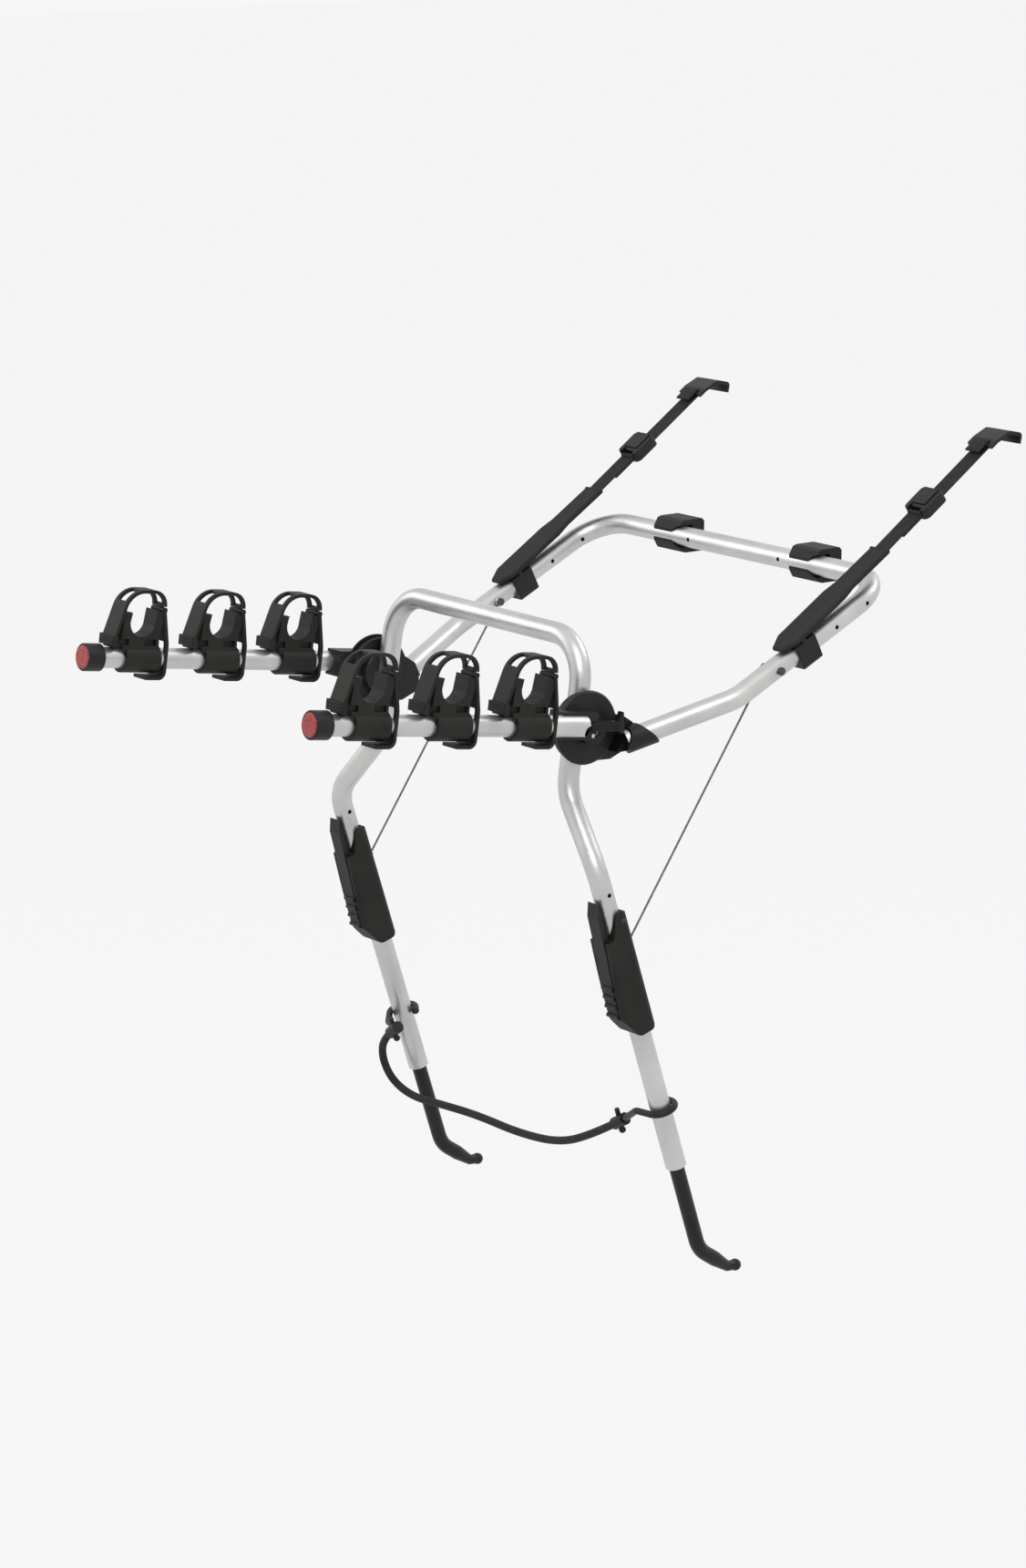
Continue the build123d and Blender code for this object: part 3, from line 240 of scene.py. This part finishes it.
# Small steel pieces: bolts, cables and rivets. The bolts' dark tone is partly their own black and partly
# painted shade, standing in for the shadow in the hub's bolt well
steels = {
    # painted shade: this dark bolt tone also stands in for the shadow in the hub's bolt well
    "bolt": {"name": "blackBoltPaintedShade", "tone": (0.10, 0.10, 0.10), "gloss": (0.3, 0.5)},
    "cable": {"name": "wireRope", "tone": (0.22, 0.22, 0.22), "gloss": (0.3, 0.45)},
    "rivet": {"name": "rivetSteel", "tone": (0.62, 0.62, 0.61), "gloss": (0.22, 0.38)},
}
steelGrain = {"cloud": 160, "fine": 2500, "depth": 0.00003, "darkShare": 0.6, "metal": 0.85}


def darkSteel(name, tone, gloss):
    net = Net(name)
    cloud = net.noise(steelGrain["cloud"], 5)
    fine = net.noise(steelGrain["fine"], 2)
    dark = tuple(steelGrain["darkShare"] * part for part in tone)
    return net.finish(
        Base_Color=net.tint(cloud, dark, tone), Metallic=steelGrain["metal"],
        Roughness=net.between(cloud, *gloss), Normal=net.relief(fine, steelGrain["depth"], 0.5),
    )


# Webbing: the pitch in degrees, and the ribs and rows over waveUnit are the Wave nodes' scales
strapWeave = {
    "dark": (0.005, 0.005, 0.005), "light": (0.026, 0.026, 0.025), "gloss": (0.6, 0.88), "shine": 0.25,
    "pitch": 35.0, "ribs": 2600.0, "rows": 900.0, "waveUnit": 6.3, "depth": 0.0003, "cloud": 60,
}


def wovenStrap():
    # Fine warp ribs along the strap and weft rows across it
    net = Net("wovenStrap")
    along = net.place(1.0, (-math.radians(strapWeave["pitch"]), 0, 0))
    unit = strapWeave["waveUnit"]
    warp, weft = (
        net.node("ShaderNodeTexWave", {"bands_direction": way}, {0: along, "Scale": count / unit})
        for way, count in (("X", strapWeave["ribs"]), ("Y", strapWeave["rows"]))
    )
    cloud = net.noise(strapWeave["cloud"], 5)
    height = warp * 0.6 + weft * 0.4
    return net.finish(
        Base_Color=net.tint(height * 0.6 + cloud * 0.4, strapWeave["dark"], strapWeave["light"]),
        Roughness=net.between(height, *strapWeave["gloss"]),
        Normal=net.relief(height, strapWeave["depth"], 0.6), Specular_IOR_Level=strapWeave["shine"],
    )


threadFinish = {
    "dark": (0.012, 0.012, 0.012), "light": (0.05, 0.05, 0.048), "gloss": (0.5, 0.75),
    "twist": 2400, "depth": 0.0002,
}


def stitchThread():
    net = Net("stitchThread")
    twist = net.noise(threadFinish["twist"], 2)
    return net.finish(
        Base_Color=net.tint(twist, threadFinish["dark"], threadFinish["light"]),
        Roughness=net.between(twist, *threadFinish["gloss"]),
        Normal=net.relief(twist, threadFinish["depth"], 0.6),
    )


# Cord: strands and lay scale its UV map along the cord and round it
braid = {
    "dark": (0.005, 0.005, 0.005), "light": (0.030, 0.030, 0.029), "gloss": (0.55, 0.82), "shine": 0.25,
    "strands": 230, "lay": 4, "depth": 0.0005, "cloud": 90,
}


def braidedSheath():
    # Two crossing sets of strands on the tube's own UV map
    net = Net("braidedSheath")
    spots = [net.place((braid["strands"], lay, 1), uv=True) for lay in (braid["lay"], -braid["lay"])]
    first, second = (
        net.node("ShaderNodeTexWave", {"bands_direction": "DIAGONAL"}, {0: spot, "Scale": 1.0})
        for spot in spots
    )
    height = first * 0.5 + second * 0.5
    cloud = net.noise(braid["cloud"], 4)
    return net.finish(
        Base_Color=net.tint(height * 0.5 + cloud * 0.5, braid["dark"], braid["light"]),
        Roughness=net.between(height, *braid["gloss"]), Normal=net.relief(height, braid["depth"], 0.6),
        Specular_IOR_Level=braid["shine"],
    )


def paper():
    # The backdrop shows as one pale tone, also in reflections, and the floor keeps the shadow
    world = bpy.data.worlds.new("studio")
    world.use_nodes = True
    tree = world.node_tree
    back = tree.nodes["Background"]
    rays = tree.nodes.new("ShaderNodeLightPath")
    seen = rays.outputs["Is Camera Ray"]
    for name in ("Is Glossy Ray", "Is Transmission Ray"):
        either = tree.nodes.new("ShaderNodeMath")
        either.operation = "MAXIMUM"
        tree.links.new(seen, either.inputs[0])
        tree.links.new(rays.outputs[name], either.inputs[1])
        seen = either.outputs[0]
    level = tree.nodes.new("ShaderNodeMapRange")
    level.inputs[3].default_value = studio["worldLight"]
    level.inputs[4].default_value = studio["paper"]
    tree.links.new(seen, level.inputs[0])
    tree.links.new(level.outputs[0], back.inputs["Strength"])
    back.inputs["Color"].default_value = (1, 1, 1, 1)
    bpy.context.scene.world = world


def paperFloor():
    net = Net("paperFloor")
    tree = net.tree
    glow = net.node("ShaderNodeEmission", values={"Color": (1, 1, 1, 1), "Strength": studio["paper"]})
    rays = ("Is Camera Ray", "Is Glossy Ray", "Is Transmission Ray")
    direct, glossy, clear = (net.node("ShaderNodeLightPath", out=name) for name in rays)
    seen = direct.sum("MAXIMUM", direct, glossy.sum("MAXIMUM", glossy, clear))
    net.finish(Base_Color=studio["floorTone"], Roughness=studio["floorRough"])
    values = {0: seen * studio["floorShare"], 1: Signal(net, net.surface.outputs[0]), 2: glow}
    mix = net.node("ShaderNodeMixShader", values=values)
    tree.links.new(mix.socket, tree.nodes["Material Output"].inputs["Surface"])
    half = studio["floorSize"] / 2
    mesh = bpy.data.meshes.new("paperFloor")
    corners = [(x * half, y * half, studio["floor"]) for x, y in ((-1, -1), (1, -1), (1, 1), (-1, 1))]
    mesh.from_pydata(corners, [], [(0, 1, 2, 3)])
    mesh.materials.append(net.material)
    floor = bpy.data.objects.new("paperFloor", mesh)
    bpy.context.scene.collection.objects.link(floor)


def placeLamps():
    middle = Vector(studio["lampsAim"])
    for name, place, size, power in studio["lamps"]:
        data = bpy.data.lights.new(name, "AREA")
        data.size = size
        data.energy = power
        lamp = bpy.data.objects.new(name, data)
        lamp.location = place
        lamp.rotation_euler = (middle - Vector(place)).to_track_quat("-Z", "Y").to_euler()
        bpy.context.scene.collection.objects.link(lamp)


placeCamera()
paper()
paperFloor()
placeLamps()
bpy.context.scene.view_settings.view_transform = "Standard"
print("studio ready")

materials = {
    "aluminium": brushedTube(),
    **{key: moulded(**finish) for key, finish in mouldings.items()},
    "red": prismRed(),
    **{key: darkSteel(**finish) for key, finish in steels.items()},
    "thread": stitchThread(),
    "strap": wovenStrap(),
    "cord": braidedSheath(),
}

# Which finish a node gets, by a word in its name
finishes = (
    ("_frame_tube", "aluminium"), ("_arm_tube", "aluminium"), ("_hub_base", "plastic"),
    ("_frame_socket", "plastic"), ("_arm_hub", "plastic"), ("_hub_lever", "plastic"),
    ("_end_cap", "plastic"), ("_reflector", "red"), ("bolts", "bolt"), ("screws", "bolt"),
    ("_cradle_", "rubber"), ("_housing", "rubber"), ("_trigger", "plastic"), ("_steel_cable", "cable"),
    ("_lower_hook", "coated"), ("_cord_clip", "plastic"), ("bungee_cord", "cord"),
    ("_support_pad", "rubber"), ("_strap_saddle", "plastic"), ("_strap_sleeve", "rubber"),
    ("_strap_belt", "strap"), ("_cam_buckle", "plastic"), ("_buckle_lever", "plastic"),
    ("_hatch_web", "strap"), ("_hatch_hook", "coated"),
)


def dress(thing, key):
    thing.data.materials.clear()
    thing.data.materials.append(materials[key])


for name, thing in nodes.items():
    dress(thing, next(key for word, key in finishes if word in name))
print("finishes on")


# Places on the rack in metres and degrees, the same measures as its solids have
measures = {
    "railBack": 0.481, "railUp": 0.142, "armHalf": 0.262, "armTilt": 7.7, "legHalf": 0.290,
    "elbow": (0.222, 0.016), "legTop": (0.006, -0.188), "legEnd": (0.140, -0.606), "upperHalf": 0.306,
    "cradleFirst": 0.085, "cradlePitch": 0.125, "cradleCount": 3, "earAlong": 0.118, "earRise": 0.01765,
    "beltPitch": 33.0, "webPitch": 35.0, "sleeveEnd": 0.176, "sleeveUp": 0.0062, "hookStart": 0.214,
}
railSpot = (measures["railBack"], measures["railUp"])


def fromHub(x, back, up):
    return Vector((x, back - measures["railBack"], up - measures["railUp"]))


def runFrom(start, end):
    way = Vector((0, end[0] - start[0], end[1] - start[1])).normalized()
    return way, Vector((0, -way.z, way.y))


armTilt = math.radians(measures["armTilt"])
armWay = Vector((0, -math.cos(armTilt), math.sin(armTilt)))
armUp = Vector((0, armWay.z, -armWay.y))
legWay, legSide = runFrom(measures["legTop"], measures["legEnd"])
frameWay, frameSide = runFrom(measures["elbow"], railSpot)


def onArm(x, out, up):
    return fromHub(x, 0, 0) + armWay * out + armUp * up


def onLeg(x, down, over):
    return fromHub(x, *measures["legTop"]) + legWay * down + legSide * over


def onFrame(x, along, over):
    return fromHub(x, *measures["elbow"]) + frameWay * along + frameSide * over


def sloped(pitch):
    way = Vector((0, math.cos(math.radians(pitch)), math.sin(math.radians(pitch))))
    return way, Vector((0, -way.z, way.y))


def newTree(name, inputs):
    # An empty tree with its named inputs, and what builds and joins its nodes
    tree = bpy.data.node_groups.new(name, "GeometryNodeTree")
    sockets = tree.interface
    sockets.new_socket("Geometry", in_out="INPUT", socket_type="NodeSocketGeometry")
    for label, kind in inputs:
        sockets.new_socket(label, in_out="INPUT", socket_type="NodeSocket" + kind)
    sockets.new_socket("Geometry", in_out="OUTPUT", socket_type="NodeSocketGeometry")
    return tree, tree.nodes.new, tree.links.new


barCorners = 12


# Geometry Nodes: a row of short round bars, for grip ribs and stitches
def rowTree():
    tree, new, link = newTree("rowOfBars", (
        ("Start", "Vector"), ("Step", "Vector"), ("Count", "Int"),
        ("Size", "Vector"), ("Turn", "Vector"), ("Material", "Material"),
    ))
    given, result = new("NodeGroupInput"), new("NodeGroupOutput")
    line = new("GeometryNodeMeshLine")
    line.mode = "OFFSET"
    link(given.outputs["Count"], line.inputs["Count"])
    link(given.outputs["Start"], line.inputs["Start Location"])
    link(given.outputs["Step"], line.inputs["Offset"])
    bar = new("GeometryNodeMeshCylinder")
    bar.inputs["Vertices"].default_value = barCorners
    bar.inputs["Radius"].default_value = 1.0
    bar.inputs["Depth"].default_value = 2.0
    place = new("GeometryNodeInstanceOnPoints")
    link(line.outputs[0], place.inputs["Points"])
    link(bar.outputs["Mesh"], place.inputs["Instance"])
    link(given.outputs["Turn"], place.inputs["Rotation"])
    link(given.outputs["Size"], place.inputs["Scale"])
    real = new("GeometryNodeRealizeInstances")
    link(place.outputs[0], real.inputs[0])
    coat = new("GeometryNodeSetMaterial")
    link(real.outputs[0], coat.inputs["Geometry"])
    link(given.outputs["Material"], coat.inputs["Material"])
    link(coat.outputs[0], result.inputs[0])
    return tree


ropeLay = {"strands": 6, "strandCorners": 8, "layShare": 1.9}  # the share is of a strand's radius


# Geometry Nodes: a wire rope, its strands twisted round its line
def ropeTree():
    tree, new, link = newTree("wireRope", (
        ("Start", "Vector"), ("End", "Vector"), ("Strand", "Float"),
        ("Twist", "Float"), ("Rings", "Int"), ("Material", "Material"),
    ))
    given, result = new("NodeGroupInput"), new("NodeGroupOutput")
    line = new("GeometryNodeCurvePrimitiveLine")
    link(given.outputs["Start"], line.inputs["Start"])
    link(given.outputs["End"], line.inputs["End"])
    rings = new("GeometryNodeResampleCurve")
    link(line.outputs[0], rings.inputs["Curve"])
    link(given.outputs["Rings"], rings.inputs["Count"])
    along = new("GeometryNodeSplineParameter")
    turn = new("ShaderNodeMath")
    turn.operation = "MULTIPLY"
    link(along.outputs["Length"], turn.inputs[0])
    link(given.outputs["Twist"], turn.inputs[1])
    tilt = new("GeometryNodeSetCurveTilt")
    link(rings.outputs[0], tilt.inputs["Curve"])
    link(turn.outputs[0], tilt.inputs["Tilt"])
    lay = new("GeometryNodeCurvePrimitiveCircle")
    lay.inputs["Resolution"].default_value = ropeLay["strands"]
    strand = new("GeometryNodeCurvePrimitiveCircle")
    strand.inputs["Resolution"].default_value = ropeLay["strandCorners"]
    wide = new("ShaderNodeMath")
    wide.operation = "MULTIPLY"
    wide.inputs[1].default_value = ropeLay["layShare"]
    link(given.outputs["Strand"], wide.inputs[0])
    link(wide.outputs[0], lay.inputs["Radius"])
    link(given.outputs["Strand"], strand.inputs["Radius"])
    spread = new("GeometryNodeInstanceOnPoints")
    link(lay.outputs[0], spread.inputs["Points"])
    link(strand.outputs[0], spread.inputs["Instance"])
    ends = new("GeometryNodeRealizeInstances")
    link(spread.outputs[0], ends.inputs[0])
    sweep = new("GeometryNodeCurveToMesh")
    sweep.inputs["Fill Caps"].default_value = True
    link(tilt.outputs[0], sweep.inputs["Curve"])
    link(ends.outputs[0], sweep.inputs["Profile Curve"])
    real = new("GeometryNodeRealizeInstances")
    link(sweep.outputs[0], real.inputs[0])
    coat = new("GeometryNodeSetMaterial")
    link(real.outputs[0], coat.inputs["Geometry"])
    link(given.outputs["Material"], coat.inputs["Material"])
    link(coat.outputs[0], result.inputs[0])
    return tree


trees = {"row": rowTree(), "rope": ropeTree()}


def grow(name, treeName, **values):
    # Runs a tree on an empty mesh and keeps the result as a plain mesh
    tree = trees[treeName]
    seed = bpy.data.objects.new(name + "Seed", bpy.data.meshes.new(name + "Seed"))
    bpy.context.scene.collection.objects.link(seed)
    modifier = seed.modifiers.new("grow", "NODES")
    modifier.node_group = tree
    for item in tree.interface.items_tree:
        if item.in_out == "INPUT" and item.name in values:
            modifier[item.identifier] = values[item.name]
    graph = bpy.context.evaluated_depsgraph_get()
    mesh = bpy.data.meshes.new_from_object(seed.evaluated_get(graph))
    bpy.data.objects.remove(seed)
    thing = bpy.data.objects.new(name, mesh)
    bpy.context.scene.collection.objects.link(thing)
    return thing


def bars(name, body, finish, start, step, count, size, turn=(0, math.pi / 2, 0)):
    coat = materials[finish]
    thing = grow(name, "row", Start=start, Step=step, Count=count, Size=size, Turn=turn, Material=coat)
    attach(thing, body)


# A turned piece: rings of points round a line, closed at both ends or round a bore
def turned(name, body, finish, origin, way, profile, steps=28, bore=False):
    side = way.orthogonal().normalized()
    other = way.cross(side).normalized()
    shape = bmesh.new()
    rings = []
    for radius, along in profile:
        ring = []
        for step in range(steps):
            angle = 2 * math.pi * step / steps
            spot = origin + way * along + (side * math.cos(angle) + other * math.sin(angle)) * radius
            ring.append(shape.verts.new(spot))
        rings.append(ring)
    pairs = list(zip(rings, rings[1:])) + ([(rings[-1], rings[0])] if bore else [])
    for low, high in pairs:
        for step in range(steps):
            after = (step + 1) % steps
            shape.faces.new((low[step], low[after], high[after], high[step]))
    if not bore:
        shape.faces.new(rings[0][::-1])
        shape.faces.new(rings[-1])
    bmesh.ops.recalc_face_normals(shape, faces=shape.faces)
    mesh = bpy.data.meshes.new(name)
    shape.to_mesh(mesh)
    shape.free()
    mesh.materials.append(materials[finish])
    for face in mesh.polygons:
        face.use_smooth = len(face.vertices) == 4
    thing = bpy.data.objects.new(name, mesh)
    bpy.context.scene.collection.objects.link(thing)
    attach(thing, body)


# Steel ropes from the leg tensioners up to the upper frame, with a crimp and an eye at the upper end
rope = {
    "strand": 0.00052, "twist": 260.0, "rings": 260, "down": 0.111, "over": 0.018, "along": 0.069,
    "boss": 0.006, "inCrimp": 0.004, "lowBend": 0.02, "highBend": 0.04,
}
ropeEye = {
    "half": 0.29035, "outer": 0.0064, "inner": 0.0036, "thick": 0.0015, "chamfer": 0.0008, "flatShare": 0.4,
}
ropeCrimp = {
    "radius": 0.0031, "thinShare": 0.8, "start": 0.028, "end": 0.0125, "chamfer": 0.0012, "groove": 0.0075,
    "grooveHalf": 0.0015,
}
ropeNeck = {"radius": 0.0016, "intoEye": 0.0006, "intoCrimp": 0.001, "corners": 12}


def crimpProfile():
    wide, thin = ropeCrimp["radius"], ropeCrimp["radius"] * ropeCrimp["thinShare"]
    length = ropeCrimp["start"] - ropeCrimp["end"]
    chamfer, groove, half = ropeCrimp["chamfer"], ropeCrimp["groove"], ropeCrimp["grooveHalf"]
    return (
        (thin, 0), (wide, chamfer), (wide, groove - half), (thin, groove), (wide, groove + half),
        (wide, length - chamfer), (thin, length),
    )


def eyeProfile():
    outer, inner, half = ropeEye["outer"], ropeEye["inner"], ropeEye["thick"]
    edge, flat = outer - ropeEye["chamfer"], half * ropeEye["flatShare"]
    return (edge, -half), (outer, -flat), (outer, flat), (edge, half), (inner, half), (inner, -half)


def wireRopes():
    across = Vector((1, 0, 0))
    neck = (
        (ropeNeck["radius"], ropeEye["outer"] - ropeNeck["intoEye"]),
        (ropeNeck["radius"], ropeCrimp["end"] + ropeNeck["intoCrimp"]),
    )
    for side, sign in sides:
        low = onLeg(sign * measures["legHalf"], rope["down"], rope["over"])
        high = onFrame(sign * ropeEye["half"], rope["along"], 0)
        pull = (high - low).normalized()
        thing = grow(
            side + "WireRope", "rope", Strand=rope["strand"], Twist=rope["twist"], Rings=rope["rings"],
            Start=low + pull * rope["boss"] / 2, End=high - pull * (ropeCrimp["end"] + rope["inCrimp"]),
            Material=materials["cable"],
        )
        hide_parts(side + "_steel_cable")
        start, end = low + pull * rope["lowBend"], high - pull * rope["highBend"]
        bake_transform(thing)
        body, slot, corners = "upper_frame", "steel_cable", ropeNeck["corners"]
        crimpStart = high - pull * ropeCrimp["start"]
        turned(side + "RopeCrimp", body, "rivet", crimpStart, pull, crimpProfile())
        turned(side + "RopeEye", body, "rivet", high, across, eyeProfile(), bore=True)
        turned(side + "RopeNeck", body, "cable", high, -pull, neck, corners)


# Rivets on the arm hubs, beside the lever: the dome's points are shares of its radius and its rise
rivet = {
    "face": 0.264, "out": -0.0205, "up": -0.0122, "radius": 0.0028, "rise": 0.0011, "sunk": 0.0006,
    "domeShares": ((1, 0.25), (0.8, 0.7), (0.45, 1)), "tip": 0.0003, "tipShare": 1.1, "corners": 20,
}


def hubRivets():
    size, rise = rivet["radius"], rivet["rise"]
    dome = [(size * wide, rise * high) for wide, high in rivet["domeShares"]]
    profile = [(size, -rivet["sunk"]), *dome, (rivet["tip"], rise * rivet["tipShare"])]
    for side, sign in sides:
        spot = onArm(sign * rivet["face"], rivet["out"], rivet["up"])
        way, corners = Vector((sign, 0, 0)), rivet["corners"]
        turned(side + "HubRivet", side + "_arm", "rivet", spot, way, profile, corners)


# Stitches: along both edges of the sleeves, and across the folded webbing below the hatch hooks
stitch = {
    "pitch": 0.0052, "length": 0.0018, "thick": 0.00042, "sleeveRise": 0.0092, "sleeveFrom": 0.004,
    "sleeveTo": 0.172, "wideHalf": 0.0165, "narrowHalf": 0.0131, "wideTo": 0.080, "narrowFrom": 0.106,
    "foldRows": (0.0, 0.012), "foldRise": 0.0053, "foldHalf": 0.0098,
}


def runStitches(name, body, first, last, lie):
    span = last - first
    count = max(2, int(span.length / stitch["pitch"]) + 1)
    turn = tuple(lie.to_track_quat("Z", "Y").to_euler())
    size = (stitch["thick"], stitch["thick"], stitch["length"])
    bars(name, body, "thread", tuple(first), tuple(span / (count - 1)), count, size, turn)


def strapStitches():
    for side, sign in sides:
        pin = onFrame(sign * measures["upperHalf"], measures["earAlong"], measures["earRise"])
        sleeveWay, sleeveOver = sloped(measures["beltPitch"])
        sleeve = side + "_strap_sleeve"
        for edge, half in (("Inner", -1), ("Outer", 1)):
            for part, start, stop, wide in (
                ("Wide", stitch["sleeveFrom"], stitch["wideTo"], stitch["wideHalf"]),
                ("Narrow", stitch["narrowFrom"], stitch["sleeveTo"], stitch["narrowHalf"]),
            ):
                shift = Vector((half * wide, 0, 0)) + sleeveOver * stitch["sleeveRise"]
                first, last = pin + sleeveWay * start + shift, pin + sleeveWay * stop + shift
                runStitches(f"{side}Sleeve{part}{edge}", sleeve, first, last, sleeveWay)
        end = pin + sleeveWay * measures["sleeveEnd"] + sleeveOver * measures["sleeveUp"]
        webWay, webOver = sloped(measures["webPitch"])
        web = side + "_hatch_web"
        reach = Vector((stitch["foldHalf"], 0, 0))
        for number, row in enumerate(stitch["foldRows"]):
            along = measures["hookStart"] - stitch["foldRows"][-1] + row
            middle = end + webWay * along + webOver * stitch["foldRise"]
            first, last = middle - reach, middle + reach
            runStitches(f"{side}FoldRow{number + 1}", web, first, last, reach.normalized())


# Grip ribs on the front tabs of the cradle straps
tabRibs = {
    "out": 0.0505, "proud": 0.0028, "ups": (0.0200, 0.0285), "width": 0.016, "thick": 0.0011, "count": 3,
}


def strapRibs():
    size = (tabRibs["thick"], tabRibs["thick"], tabRibs["width"])
    for side, sign in sides:
        for number in range(measures["cradleCount"]):
            middle = measures["cradleFirst"] + number * measures["cradlePitch"]
            out = middle + tabRibs["out"] + tabRibs["proud"]
            first, last = (onArm(sign * measures["armHalf"], out, up) for up in tabRibs["ups"])
            step = (last - first) / (tabRibs["count"] - 1)
            bars(
                f"{side}TabRibs{number + 1}", f"{side}_cradle_strap_{number + 1}", "rubber",
                tuple(first), tuple(step), tabRibs["count"], size,
            )


wireRopes()
hubRivets()
strapStitches()
strapRibs()
print("ropes and ribs made")


# The cord between the two clips, in its photographed loop
bungee = {
    "points": (
        (-0.253, -0.411, -0.677), (-0.284, -0.407, -0.697), (-0.300, -0.397, -0.731),
        (-0.289, -0.387, -0.763), (-0.251, -0.379, -0.779), (-0.196, -0.373, -0.777),
        (-0.114, -0.368, -0.774), (-0.018, -0.366, -0.777), (0.074, -0.366, -0.767),
        (0.146, -0.366, -0.736), (0.199, -0.366, -0.706),
    ),
    "diameter": 0.011, "rounds": 10, "steps": 24, "order": 3, "length": 0.606,
}


def layCord():
    data = bpy.data.curves.new("bungeeCord", "CURVE")
    data.dimensions = "3D"
    data.bevel_depth = bungee["diameter"] / 2
    data.bevel_resolution = bungee["rounds"]
    data.resolution_u = bungee["steps"]
    data.use_fill_caps = True
    spline = data.splines.new("NURBS")
    spline.points.add(len(bungee["points"]) - 1)
    for point, place in zip(spline.points, bungee["points"]):
        point.co = (*place, 1)
    spline.order_u = bungee["order"]
    spline.use_endpoint_u = True
    thing = bpy.data.objects.new("bungeeCord", data)
    bpy.context.scene.collection.objects.link(thing)
    thing.data.materials.append(materials["cord"])
    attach(thing, "main_frame")
    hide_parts("bungee_cord")


layCord()
print("cord laid")
